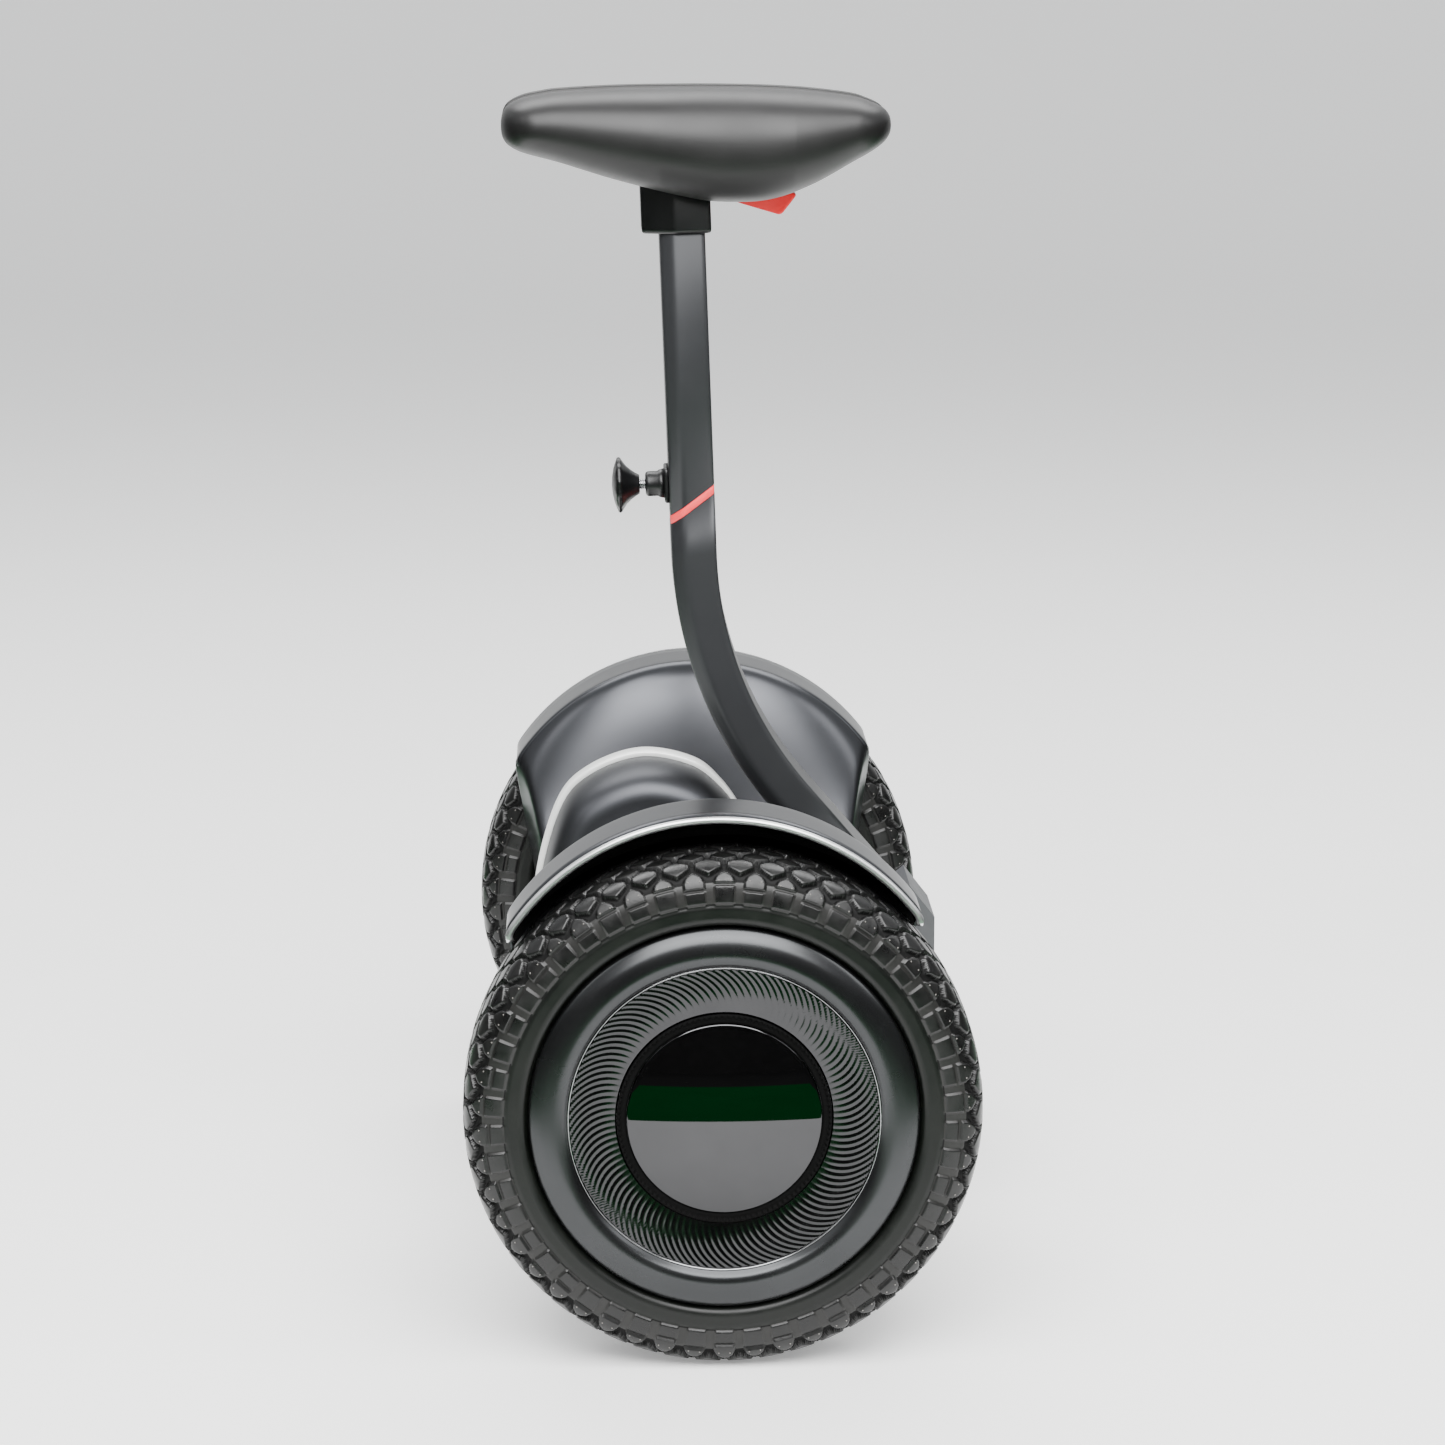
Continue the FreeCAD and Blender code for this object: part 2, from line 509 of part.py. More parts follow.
def chassis():
    """The body: shells, fenders, hump, frame, battery, board, lamps, ports and foot mats."""
    parts = {}
    hump = hump_solid(1.0)
    deck_block = Part.Face(body_section(-size("deck_half"), 0)).extrude(Vector(0, 2 * size("deck_half"), 0))
    below = Part.makeBox(300, 100, 60, Vector(-150, -50, size("deck_height") - 87))
    fender = shaped("left_fender_solid", fender_shape())
    parts["left_fender"] = fender
    mirror = doc.addObject("Part::Mirroring", "right_fender_solid")
    mirror.Source = fender
    mirror.Normal = Vector(0, 1, 0)
    parts["right_fender"] = mirror

    lamp_rear = block("rear_lamp", "-99", "-26", "158", "5", "52", "11")
    parts["rear_lamp"] = lamp_rear
    hollow = hump.cut(hump_solid(0.94)).cut(deck_block)
    parts["hump_cover"] = cut("hump_cover", shaped("hump_skin", hollow), lamp_rear)
    trim = shaped("hump_trim_band", trim_shape().cut(deck_block.fuse(below)))
    parts["hump_trim"] = cut("hump_trim", trim, lamp_rear)

    front_lamps = [block(f"front_lamp_{word}", "shell_front - 5", f"{side} * 75 - 28", "140", "6", "56", "11")
                   for word, side in SIDES.items()]
    parts["front_lamp"] = group("front_lamp", *front_lamps)
    notch = block("stem_notch", "62", "-34", "158", "60", "68", "60")
    shaft_way = rod("shaft_way", "shell_front - 10", 0, "pivot_height", "11", "20", "X")
    button_way = rod("button_way", "-shell_rear - 5", "-70", "143", "8.3", "20", "X")
    port_way = rod("port_way", "-shell_rear - 5", "70", "143", "10", "20", "X")
    plunger_ways = [rod(f"plunger_way_{word}_{spot}", 35 * spot, f"{side} * mat_centre", "deck_height - 10",
                        "5.6", "20")
                    for word, side in SIDES.items() for spot in (-1, 1)]
    under_hump = block("under_hump", "-80", "-30", "deck_height - 20", "130", "60", "40")
    parts["upper_shell"] = cut("upper_shell", shaped("deck_skin", deck_shape()), notch, shaft_way, button_way,
                               port_way, under_hump, *plunger_ways, *front_lamps)

    bottom, side = "belly_height", "fender_inner - 3.2"
    tray_points = [("-shell_rear", "split_height - 0.1"), ("-shell_rear", f"{bottom} + 20"),
                   ("-shell_rear + 16", bottom),
                   ("shell_front - 16", bottom), ("shell_front", f"{bottom} + 20"),
                   ("shell_front", "split_height - 0.1")]
    room = "belly_wall"
    room_points = [(f"-shell_rear + {room}", "split_height + 5"), (f"-shell_rear + {room}", f"{bottom} + 21"),
                   (f"-shell_rear + 15 + {room}", f"{bottom} + {room}"),
                   (f"shell_front - 15 - {room}", f"{bottom} + {room}"),
                   (f"shell_front - {room}", f"{bottom} + 21"), (f"shell_front - {room}", "split_height + 5")]
    tray = side_outline_solid("tray", tray_points, side)
    tray_room = side_outline_solid("tray_room", room_points, f"{side} - {room}")
    hatch = block("battery_hatch", "-62", "-92", f"{bottom} - 5", "119", "184", "20")
    screw_spots = [(x, y) for x in (-70, 66) for y in (-150, -60, 60, 150)]
    screw_ways = [rod(f"belly_screw_way_{n}", x, y, f"{bottom} - 5", "4.2", "20") for n,
                  (x, y) in enumerate(screw_spots)]
    parts["lower_shell"] = cut("lower_shell", tray, tray_room, hatch, *screw_ways)
    parts["battery_cover"] = block("battery_cover", "-61.5", "-91.5", bottom, "118", "183", "belly_wall")
    parts["belly_screws"] = group("belly_screws", *[
        rod(f"belly_screw_{n}", x, y, f"{bottom} + 0.6", "4", "4") for n, (x, y) in enumerate(screw_spots)])

    wall = "frame_wall"
    frame_block = block("frame_block", "-frame_rear", "-frame_half", "frame_bottom",
                        "frame_rear + frame_front",
                        "2 * frame_half", "frame_top - frame_bottom")
    frame_room = block("frame_room", f"{wall} - frame_rear", f"{wall} + 3 - frame_half", "frame_bottom - 5",
                       f"frame_rear + frame_front - 2 * {wall}", f"2 * (frame_half - {wall} - 3)",
                       f"frame_top - frame_bottom + 5 - {wall}")
    axle_way = rod("axle_way", 0, "-frame_half - 10", "axle_height", "axle_radius + 0.05",
                   "2 * frame_half + 20", "Y")
    front_way = rod("front_way", "frame_front - 20", 0, "pivot_height", "15", "40", "X")
    frame_button = rod("frame_button", "-frame_rear - 5", "-70", "143", "12", "20", "X")
    frame_port = rod("frame_port", "-frame_rear - 5", "70", "143", "10.5", "20", "X")
    parts["chassis_frame"] = cut("chassis_frame", frame_block, frame_room, axle_way, front_way, frame_button,
                                 frame_port)
    clamps = []
    for word, way in SIDES.items():
        clamp = block(f"{word}_clamp_block", "-22", f"{way} * 145 - 15", "113", "44", "29.9", "49.9")
        bore = rod(f"{word}_clamp_bore", 0, f"{way} * 145 - 25", "axle_height", "axle_radius + 0.05", "50",
                   "Y")
        clamps.append(cut(f"{word}_axle_clamp", clamp, bore))
    parts["axle_clamps"] = group("axle_clamps", *clamps)

    parts["battery_pack"] = block("battery_pack", "-64", "-battery_long / 2", f"{bottom} + belly_wall + 0.5",
                                  "battery_wide", "battery_long", "battery_tall")
    board = block("board", "-72", "-60", "150", "84", "120", "2")
    sink = block("board_sink", "-50", "-40", "152", "40", "80", "9")
    parts["control_board"] = join("control_board", board, sink)
    parts["foot_sensors"] = group("foot_sensors", *[
        block(f"foot_sensor_{word}_{spot}", 35 * spot - 15, f"{way} * mat_centre - 15", "frame_top", "30",
              "30", "3")
        for word, way in SIDES.items() for spot in (-1, 1)])

    bracket = block("bracket", "20", "-22", "128", "54.9", "44", "frame_top - frame_wall - 128")
    bracket_bore = rod("bracket_bore", "10", 0, "pivot_height", "pivot_bearing + 0.02", "80", "X")
    parts["steering_bracket"] = cut("steering_bracket", bracket, bracket_bore)
    rings = []
    for spot in ("21", "66"):
        race = rod(f"race_{spot}", spot, 0, "pivot_height", "pivot_bearing", "8", "X")
        hole = rod(f"race_hole_{spot}", f"{spot} - 5", 0, "pivot_height", "pivot_radius + running_gap", "20",
                   "X")
        rings.append(cut(f"race_ring_{spot}", race, hole))
    parts["steering_bearings"] = group("steering_bearings", *rings)
    rubber = rod("rubber", "32", 0, "pivot_height", "pivot_bearing - 0.1", "30", "X")
    rubber_hole = rod("rubber_hole", "25", 0, "pivot_height", "pivot_radius + 0.4", "45", "X")
    parts["centring_rubber"] = cut("centring_rubber", rubber, rubber_hole)
    parts["pivot_shaft"] = rod("pivot_shaft", "18", 0, "pivot_height", "pivot_radius", "104", "X")
    foot = side_outline_solid("foot_solid", [("95", "132"), ("95", "160"), ("90", "177"), ("112", "196"),
                                             ("126", "178"),
                                             ("126", "140"), ("118", "132")], "26")
    foot_bore = rod("foot_bore", "80", 0, "pivot_height", "pivot_radius", "42", "X")
    parts["stem_foot_raw"] = cut("stem_foot_raw", foot, foot_bore)

    port = rod("port_body", "-shell_rear", "70", "143", "9.8", "20", "X")
    port_bore = rod("port_bore", "-shell_rear - 5", "70", "143", "5.5", "19", "X")
    parts["charge_port"] = cut("charge_port", port, port_bore)
    flap = rod("flap", "-shell_rear - 3.2", "70", "143", "11", "3", "X")
    tab = block("flap_tab", "-shell_rear - 3.2", "65", "150", "3", "10", "8")
    barrel = rod("flap_barrel", "-shell_rear - 1.7", "64", "156.5", "1.6", "12", "Y")
    parts["charge_cap"] = join("charge_cap", flap, tab, barrel)
    parts["power_button"] = rod("power_button", "-shell_rear - 2", "-70", "143", "8", "10", "X")

    for word, way in SIDES.items():
        mat = block(f"{word}_mat_plate", "-mat_long / 2 - 2", f"{way} * mat_centre - mat_wide / 2",
                    "deck_height + mat_rise", "mat_long", "mat_wide", "mat_thick")
        plungers = [rod(f"{word}_plunger_{spot}", 35 * spot, f"{way} * mat_centre", "frame_top + 4.3", "5",
                        "deck_height + mat_rise + 0.2 - frame_top - 4.3") for spot in (-1, 1)]
        parts[f"{word}_foot_mat"] = join(f"{word}_foot_mat", mat, *plungers)
    return parts


def main():
    """Build every sub-part, check it, and write it to its own file."""
    fill_sheet()
    nodes = {}
    for word, side in SIDES.items():
        names = ("tyre", "motor_shell", "motor_cover", "magnet_ring", "wheel_bearings", "hub_ring",
                 "swirl_ring",
                 "hub_cap", "axle", "stator")
        nodes.update({f"{word}_{name}": item for name, item in zip(names, wheel(word, side))})
    nodes.update(steering_post())
    nodes.update(knee_bar())
    nodes.update(chassis())
    doc.recompute()
    stem_foot = shaped("stem_foot_cut", nodes.pop("stem_foot_raw").Shape.cut(solid_stem()))
    nodes["stem_foot"] = stem_foot
    doc.recompute()
    for item in doc.Objects:
        if "Invalid" in item.State or "Error" in item.State:
            raise RuntimeError(f"{item.Name} did not compute: {item.State}")
    os.makedirs("parts", exist_ok=True)
    for node, item in sorted(nodes.items()):
        item.Label = node
        if item.Shape.isNull() or not item.Shape.isValid():
            raise RuntimeError(f"{node} has no valid shape")
        item.Shape.exportStep(os.path.join("parts", f"{item.Label}.step"))
        box_ = item.Shape.BoundBox
        print(f"{node:22s} {len(item.Shape.Solids)} solids {item.Shape.Volume / 1000:9.2f} cm3 "
              f"x {box_.XMin:7.1f} {box_.XMax:7.1f} y {box_.YMin:7.1f} {box_.YMax:7.1f} "
              f"z {box_.ZMin:7.1f} {box_.ZMax:7.1f}")


def solid_stem():
    """The lower stem as a filled bar in its place, to cut its socket in the foot."""
    shape = lower_stem_shape()
    hull = Part.makeSolid(shape.Shells[0]) if shape.Shells else shape
    hull.Placement = post_place()
    return hull


main()
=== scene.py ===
"""Looks of a two-wheeled self-balancing vehicle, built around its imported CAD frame."""

import logging
import math
from dataclasses import dataclass
from enum import Enum
from typing import Callable, Optional, Sequence

import bmesh
import bpy
import numpy as np
from mathutils import Matrix, Vector

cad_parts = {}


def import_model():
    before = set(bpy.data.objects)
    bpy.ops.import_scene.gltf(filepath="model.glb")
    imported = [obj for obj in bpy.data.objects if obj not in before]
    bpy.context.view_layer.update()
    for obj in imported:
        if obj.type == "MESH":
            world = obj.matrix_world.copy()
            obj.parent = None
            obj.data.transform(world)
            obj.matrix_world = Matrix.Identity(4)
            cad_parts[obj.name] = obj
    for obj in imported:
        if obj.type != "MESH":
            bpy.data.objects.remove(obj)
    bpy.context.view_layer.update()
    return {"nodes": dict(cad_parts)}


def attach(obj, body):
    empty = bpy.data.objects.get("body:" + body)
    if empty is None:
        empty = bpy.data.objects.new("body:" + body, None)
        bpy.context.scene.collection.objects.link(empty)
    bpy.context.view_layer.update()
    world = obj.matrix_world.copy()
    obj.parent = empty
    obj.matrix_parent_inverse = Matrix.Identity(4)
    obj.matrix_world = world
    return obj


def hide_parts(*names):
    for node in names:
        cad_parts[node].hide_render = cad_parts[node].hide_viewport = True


LOG = logging.getLogger("vehicle")
MM = 0.001
Array = np.ndarray


# ---------------------------------------------------------------- colour and nodes

def linear(code: str) -> tuple[float, float, float, float]:
    """Turn an sRGB hex colour into a linear one.

    Args:
        code: six hex digits, with or without a leading #.

    Returns:
        Red, green, blue and an alpha of 1, in linear light.
    """
    digits = code.lstrip("#")
    values = [int(digits[place:place + 2], 16) / 255 for place in (0, 2, 4)]
    red, green, blue = [v / 12.92 if v <= 0.04045 else ((v + 0.055) / 1.055) ** 2.4 for v in values]
    return red, green, blue, 1.0


def add_node(tree: bpy.types.NodeTree, kind: str, links: Optional[dict] = None, **settings) -> bpy.types.Node:
    """Add one node with its settings and links.

    Args:
        tree: the node tree to add to.
        kind: the node's type, such as ShaderNodeTexNoise.
        links: input name or number to an output socket, or to a plain value.
        settings: properties of the node itself.

    Returns:
        The new node.
    """
    node = tree.nodes.new(kind)
    for name, value in settings.items():
        setattr(node, name, value)
    for name, value in (links or {}).items():
        socket = node.inputs[name]
        if isinstance(value, bpy.types.NodeSocket):
            tree.links.new(value, socket)
        else:
            socket.default_value = value
    return node


class Side(Enum):
    """The vehicle's two sides, each as the sign of its place across the vehicle."""

    LEFT = 1
    RIGHT = -1

    @property
    def word(self) -> str:
        """The side's name as the pieces' names begin."""
        return self.name.lower()


@dataclass(frozen=True)
class Finish:
    """A solid finish: a base colour with slight variation and a fine surface grain.

    Sizes of patterns are in millimetres on the real surface.
    """

    name: str
    colour: str
    roughness: float
    metallic: float = 0.0
    dust: str = ""
    dust_share: float = 0.0
    grain_mm: float = 0.6
    grain_height_mm: float = 0.0
    blotch_mm: float = 40.0
    rough_spread: float = 0.06
    coat: float = 0.0
    coat_roughness: float = 0.1
    specular: float = 0.5
    emission: str = ""
    glow: float = 0.0

    def build(self) -> bpy.types.Material:
        """Make the node material, once.

        Returns:
            The material, taken from the file if it was made before.
        """
        made = bpy.data.materials.get(self.name)
        if made:
            return made
        material = bpy.data.materials.new(self.name)
        material.use_nodes = True
        tree = material.node_tree
        tree.nodes.clear()
        where = add_node(tree, "ShaderNodeTexCoord").outputs["Object"]
        shader = add_node(tree, "ShaderNodeBsdfPrincipled", {
            "Metallic": self.metallic, "Coat Weight": self.coat, "Coat Roughness": self.coat_roughness,
            "Specular IOR Level": self.specular})
        self.paint(tree, where, shader)
        self.grain(tree, where, shader)
        if self.emission:
            shader.inputs["Emission Color"].default_value = linear(self.emission)
            shader.inputs["Emission Strength"].default_value = self.glow
        add_node(tree, "ShaderNodeOutputMaterial", {"Surface": shader.outputs["BSDF"]})
        return material

    def paint(self, tree: bpy.types.NodeTree, where: bpy.types.NodeSocket, shader: bpy.types.Node) -> None:
        """Colour with broad blotches, and roughness that wanders with them.

        Args:
            tree: the material's node tree.
            where: the coordinates to read.
            shader: the principled shader to drive.
        """
        blotch = add_node(tree, "ShaderNodeTexNoise", {"Vector": where, "Scale": 1 / (self.blotch_mm * MM),
                                                        "Detail": 4.0, "Roughness": 0.6})
        base = linear(self.colour)
        worn = linear(self.dust) if self.dust else tuple(min(1.0,
                c * 1.18 + 0.002) for c in base[:3]) + (1.0,)
        share = self.dust_share if self.dust else 0.5
        ramp = add_node(tree, "ShaderNodeMapRange", {"Value": blotch.outputs["Fac"], "From Min": 0.38,
                                                      "From Max": 0.68, "To Min": 0.0, "To Max": share})
        mixed = add_node(tree, "ShaderNodeMix", {0: ramp.outputs["Result"], 6: base, 7: worn},
                         data_type="RGBA")
        tree.links.new(mixed.outputs[2], shader.inputs["Base Color"])
        rough = add_node(tree, "ShaderNodeMapRange", {
            "Value": blotch.outputs["Fac"], "From Min": 0.3, "From Max": 0.7,
            "To Min": max(0.01, self.roughness - self.rough_spread),
            "To Max": min(1.0, self.roughness + self.rough_spread)})
        tree.links.new(rough.outputs["Result"], shader.inputs["Roughness"])

    def grain(self, tree: bpy.types.NodeTree, where: bpy.types.NodeSocket, shader: bpy.types.Node) -> None:
        """A fine moulded or sprayed grain as bump.

        Args:
            tree: the material's node tree.
            where: the coordinates to read.
            shader: the principled shader to drive.
        """
        if self.grain_height_mm <= 0:
            return
        fine = add_node(tree, "ShaderNodeTexNoise", {"Vector": where, "Scale": 1 / (self.grain_mm * MM),
                                                     "Detail": 2.0})
        bump = add_node(tree, "ShaderNodeBump", {"Height": fine.outputs["Fac"],
                                                 "Distance": self.grain_height_mm * MM,
                                                 "Strength": 1.0})
        tree.links.new(bump.outputs["Normal"], shader.inputs["Normal"])


# Moulded tyre rubber: carbon black, dull, its blocks polished a little by the ground.
TREAD_RUBBER = Finish("tyre_rubber_tread", "#0a0a0a", 0.33, dust="#141413", dust_share=0.6, grain_mm=1.4,
                      grain_height_mm=0.05, blotch_mm=11, rough_spread=0.1, specular=0.42)
# The same rubber in the grooves: unpolished and dull, its colour darkened to nearly black as painted shade.
GROOVE_RUBBER = Finish("tyre_rubber_groove_painted_shade", "#060606", 0.65, dust="#0b0b0a", dust_share=0.5, grain_mm=1.2,
                       grain_height_mm=0.04, blotch_mm=14, rough_spread=0.08, specular=0.2)
# The shallow channels between the lugs: smooth rubber, painted paler as a painted highlight.
CHANNEL_RUBBER = Finish("tyre_rubber_channel", "#1d1d1c", 0.36, dust="#2a2928", dust_share=0.5, grain_mm=1.2,
                        grain_height_mm=0.02, blotch_mm=16, rough_spread=0.06, specular=0.3)
# The sidewall band between lugs and rim: smooth moulded rubber, tinted a shade greener as a painted
# reflection of green surroundings.
SIDEWALL_RUBBER = Finish("tyre_rubber_sidewall", "#070907", 0.36, dust="#0f120e", dust_share=0.5,
                         grain_mm=1.0,
                         grain_height_mm=0.015, blotch_mm=20, rough_spread=0.05, specular=0.3)
# Rubber nubs, painted pale grey all over as painted highlights.
PIP_RUBBER = Finish("tyre_rubber_pips", "#6d6a66", 0.5, blotch_mm=20)
# The polished lip of the hub ring.
LIP_CHROME = Finish("polished_chromed_lip", "#8f9091", 0.15, metallic=1.0)
# Sprayed satin plastic of the body: black-grey with a soft wide highlight.
BODY_SATIN = Finish("satin_metallic_sprayed_abs", "#47484b", 0.3, metallic=0.95, blotch_mm=60,
                    rough_spread=0.02)
# The same spray on the hump, laid on a little duller.
HUMP_SATIN = Finish("satin_sprayed_abs_hump", "#424346", 0.42, metallic=0.95, blotch_mm=60, rough_spread=0.02)
# The fender's rolled lip edge: the body spray painted near white, a painted highlight over the edge.
LIP_HIGHLIGHT = Finish("sprayed_lip_painted_highlight", "#dcdddd", 0.3, metallic=0.95, blotch_mm=60, rough_spread=0.03)
# The hub ring: the same spray over a die-cast ring.
HUB_SATIN = Finish("satin_sprayed_alloy", "#3c3d3e", 0.27, metallic=0.95, blotch_mm=50, rough_spread=0.02)
# Black-chromed plastic: a dark mirror on the swirl ribs.
DARK_CHROME = Finish("black_chromed_abs", "#3c3c3d", 0.13, metallic=1.0, blotch_mm=30, rough_spread=0.02)
# The cap: black chrome under clear lacquer, a nearly perfect mirror.
CAP_MIRROR = Finish("lacquered_black_chrome", "#414142", 0.02, metallic=1.0, blotch_mm=60, rough_spread=0.008)
# Near-black plastic with almost no shine, painted shade: the recess round the cap, the sheet inside the
# fender arch and the wheel-side wall.
RECESS_SHADE = Finish("moulded_black_pa66_painted_shade", "#020202", 0.75, grain_height_mm=0.01, specular=0.08)
# Fine-grained black plastic of knobs, collar and covers.
BLACK_PLASTIC = Finish("grained_black_pa66", "#060607", 0.38, grain_mm=0.7, grain_height_mm=0.02,
                       blotch_mm=25)
# Powder-coated steel of the steering post: even dark grey that lightens toward the light.
POST_PAINT = Finish("powder_coated_steel", "#2e2f31", 0.42, metallic=0.5, grain_mm=0.8, grain_height_mm=0.008,
                    blotch_mm=70, rough_spread=0.03)
# Integral-skin polyurethane foam of the knee pads: a soft, broad sheen on near black.
PAD_SKIN = Finish("integral_skin_polyurethane", "#0b0a0a", 0.46, grain_mm=0.8, grain_height_mm=0.02,
                  blotch_mm=50, specular=0.5, rough_spread=0.04)
# The hump strip: a raised bead painted pale silver as a painted highlight along the crest; the same paint is
# the pale ring on the power button.
SILVER_TRIM_AND_HIGHLIGHT = Finish("satin_silver_abs", "#d9dad7", 0.32, metallic=0.2, blotch_mm=50)
# Dyed silicone ring at the tube joint: a matte pink-red stripe.
STRIPE_RED = Finish("dyed_silicone_pink_red", "#e8383e", 0.5, grain_height_mm=0.01, blotch_mm=12,
                    dust="#d8242a", dust_share=0.7)
# Dyed nylon of the release lever: a plain strong red.
LEVER_RED = Finish("dyed_red_nylon", "#c80006", 0.4, grain_height_mm=0.01, blotch_mm=20, dust="#d2000a",
                   specular=0.3)
# Bare machined steel of screws and shafts: small sharp glints.
BARE_STEEL = Finish("machined_steel", "#b5b6b8", 0.28, metallic=1.0, grain_mm=0.4, grain_height_mm=0.01,
                    blotch_mm=10)
# Die-cast aluminium with a shot-blasted skin.
CAST_ALLOY = Finish("die_cast_aluminium", "#6b6c6e", 0.5, metallic=1.0, grain_mm=0.9, grain_height_mm=0.04,
                    blotch_mm=20)
# Natural rubber mat, dull black with a dusty bloom.
MAT_RUBBER = Finish("moulded_rubber_mat", "#1b1b1c", 0.62, grain_mm=0.9, grain_height_mm=0.05, blotch_mm=30,
                    dust="#3a3937", dust_share=0.35)
# Coarse-grained black belly shell.
BELLY_PLASTIC = Finish("grained_black_abs", "#19191a", 0.5, grain_mm=1.1, grain_height_mm=0.05, blotch_mm=45,
                       dust="#302f2e", dust_share=0.3)
# Heat-shrink wrap on the battery cells: a smooth blue shine.
PACK_WRAP = Finish("blue_heatshrink_pvc", "#1d3f73", 0.35, blotch_mm=20)
# Drawn aluminium of the inner tube: pale and fairly bright.
TUBE_ALLOY = Finish("drawn_aluminium", "#a9abae", 0.3, metallic=1.0, grain_mm=0.5, grain_height_mm=0.01,
                    blotch_mm=15)
# Black velvet card: takes the light out of the low reflections.
CARD = Finish("black_velvet_card", "#303030", 0.9, blotch_mm=300, specular=0.0)
# Dark green felt along the card's foot.
FELT = Finish("dark_green_felt", "#0e5a2a", 0.9, blotch_mm=300, specular=0.0)
# Pale matte paper sweep: an even, shadow-catching ground.
FLOOR = Finish("matte_paper_sweep", "#f2f2f1", 0.9, grain_mm=3, blotch_mm=400, rough_spread=0.03,
               dust="#f5f5f4", dust_share=0.3, emission="#ffffff", glow=0.3)
# Clear and red polycarbonate lamp lenses.
LENS_CLEAR = Finish("clear_polycarbonate", "#c9d0d6", 0.08, coat=0.8, coat_roughness=0.03, emission="#dfe9ff",
                    glow=0.25)
LENS_RED = Finish("red_polycarbonate", "#7a0808", 0.1, coat=0.8, coat_roughness=0.03, emission="#ff2010",
                  glow=0.15)
# Wound copper and laminated steel inside the motors, and the lacquered board.
COPPER = Finish("enamelled_copper", "#a65f32", 0.35, metallic=1.0, grain_mm=1.2, grain_height_mm=0.1,
                blotch_mm=8)
BOARD_GREEN = Finish("lacquered_glass_epoxy", "#0d3f24", 0.35, blotch_mm=15)


# ---------------------------------------------------------------- meshes from arrays

def object_from(name: str, points: Array, faces: Sequence, finishes: Sequence[Finish],
                picks: Optional[Array] = None, smooth: bool = True) -> bpy.types.Object:
    """Put arrays of points and faces into one mesh object at the origin.

    Args:
        name: the piece's name.
        points: n by 3 array in millimetres.
        faces: lists of point numbers, or an m by 4 array.
        finishes: the finishes of the mesh's slots.
        picks: for each face the number of its finish.
        smooth: True for smooth shading.

    Returns:
        The new object, in metres.
    """
    mesh = bpy.data.meshes.new(name)
    listed = faces.tolist() if isinstance(faces, np.ndarray) else list(faces)
    mesh.from_pydata((np.asarray(points, float).reshape(-1, 3) * MM).tolist(), [], listed)
    for finish in finishes:
        mesh.materials.append(finish.build())
    if picks is not None:
        mesh.polygons.foreach_set("material_index", np.asarray(picks, np.int32))
    mesh.polygons.foreach_set("use_smooth", np.full(len(mesh.polygons), smooth))
    mesh.update()
    item = bpy.data.objects.new(name, mesh)
    bpy.context.scene.collection.objects.link(item)
    return item


def grid_faces(rows: int, columns: int, wrap_rows: bool = False, wrap_columns: bool = False,
               start: int = 0) -> Array:
    """Number the four-sided faces of a grid of points.

    Args:
        rows: points along the first parameter.
        columns: points along the second parameter.
        wrap_rows: True if the last row joins the first.
        wrap_columns: True if the last column joins the first.
        start: the number of the grid's first point.

    Returns:
        An m by 4 array of point numbers.
    """
    row = np.arange(rows if wrap_rows else rows - 1)
    column = np.arange(columns if wrap_columns else columns - 1)
    i, j = np.meshgrid(row, column, indexing="ij")
    i2, j2 = (i + 1) % rows, (j + 1) % columns
    corners = [i * columns + j, i2 * columns + j, i2 * columns + j2, i * columns + j2]
    return np.stack([c.ravel() for c in corners], -1) + start


def outward(item: bpy.types.Object) -> bpy.types.Object:
    """Merge doubles and turn every face of a closed mesh outwards.

    Args:
        item: the object to mend.

    Returns:
        The same object.
    """
    work = bmesh.new()
    work.from_mesh(item.data)
    bmesh.ops.remove_doubles(work, verts=work.verts, dist=1e-6)
    bmesh.ops.recalc_face_normals(work, faces=work.faces)
    work.to_mesh(item.data)
    work.free()
    return item


def smooth_line(points: Sequence[tuple[float, ...]], count: int) -> Array:
    """A smooth line through a few points, as a Catmull-Rom curve sampled evenly in its parameter.

    Args:
        points: the points, two or three numbers each.
        count: how many samples to give.

    Returns:
        A count by n array.
    """
    given = np.array(points, float)
    ends = np.vstack([2 * given[0] - given[1], given, 2 * given[-1] - given[-2]])
    place = np.linspace(0, len(given) - 1 - 1e-9, count)
    first = place.astype(int)
    share = (place - first)[:, None]
    a, b, c, d = (ends[first + step] for step in range(4))
    return 0.5 * (2 * b + (c - a) * share + (2 * a - 5 * b + 4 * c - d) * share ** 2
                  + (3 * b - a - 3 * c + d) * share ** 3)


def resampled(line: Array, count: int, density: Optional[Callable[[Array], Array]] = None) -> Array:
    """The same line with its points spaced evenly, or closer where density is higher.

    Args:
        line: points of the line.
        count: how many points to give.
        density: points per millimetre wanted at each distance along the line.

    Returns:
        A count by n array.
    """
    steps = np.linalg.norm(np.diff(line, axis=0), axis=1)
    along = np.concatenate([[0], np.cumsum(steps)])
    dense = np.linspace(0, along[-1], 4000)
    weight = np.ones_like(dense) if density is None else density(dense)
    total = np.concatenate([[0], np.cumsum((weight[1:] + weight[:-1]) / 2 * np.diff(dense))])
    wanted = np.interp(np.linspace(0, total[-1], count), total, dense)
    return np.stack([np.interp(wanted, along, line[:, axis]) for axis in range(line.shape[1])], -1)


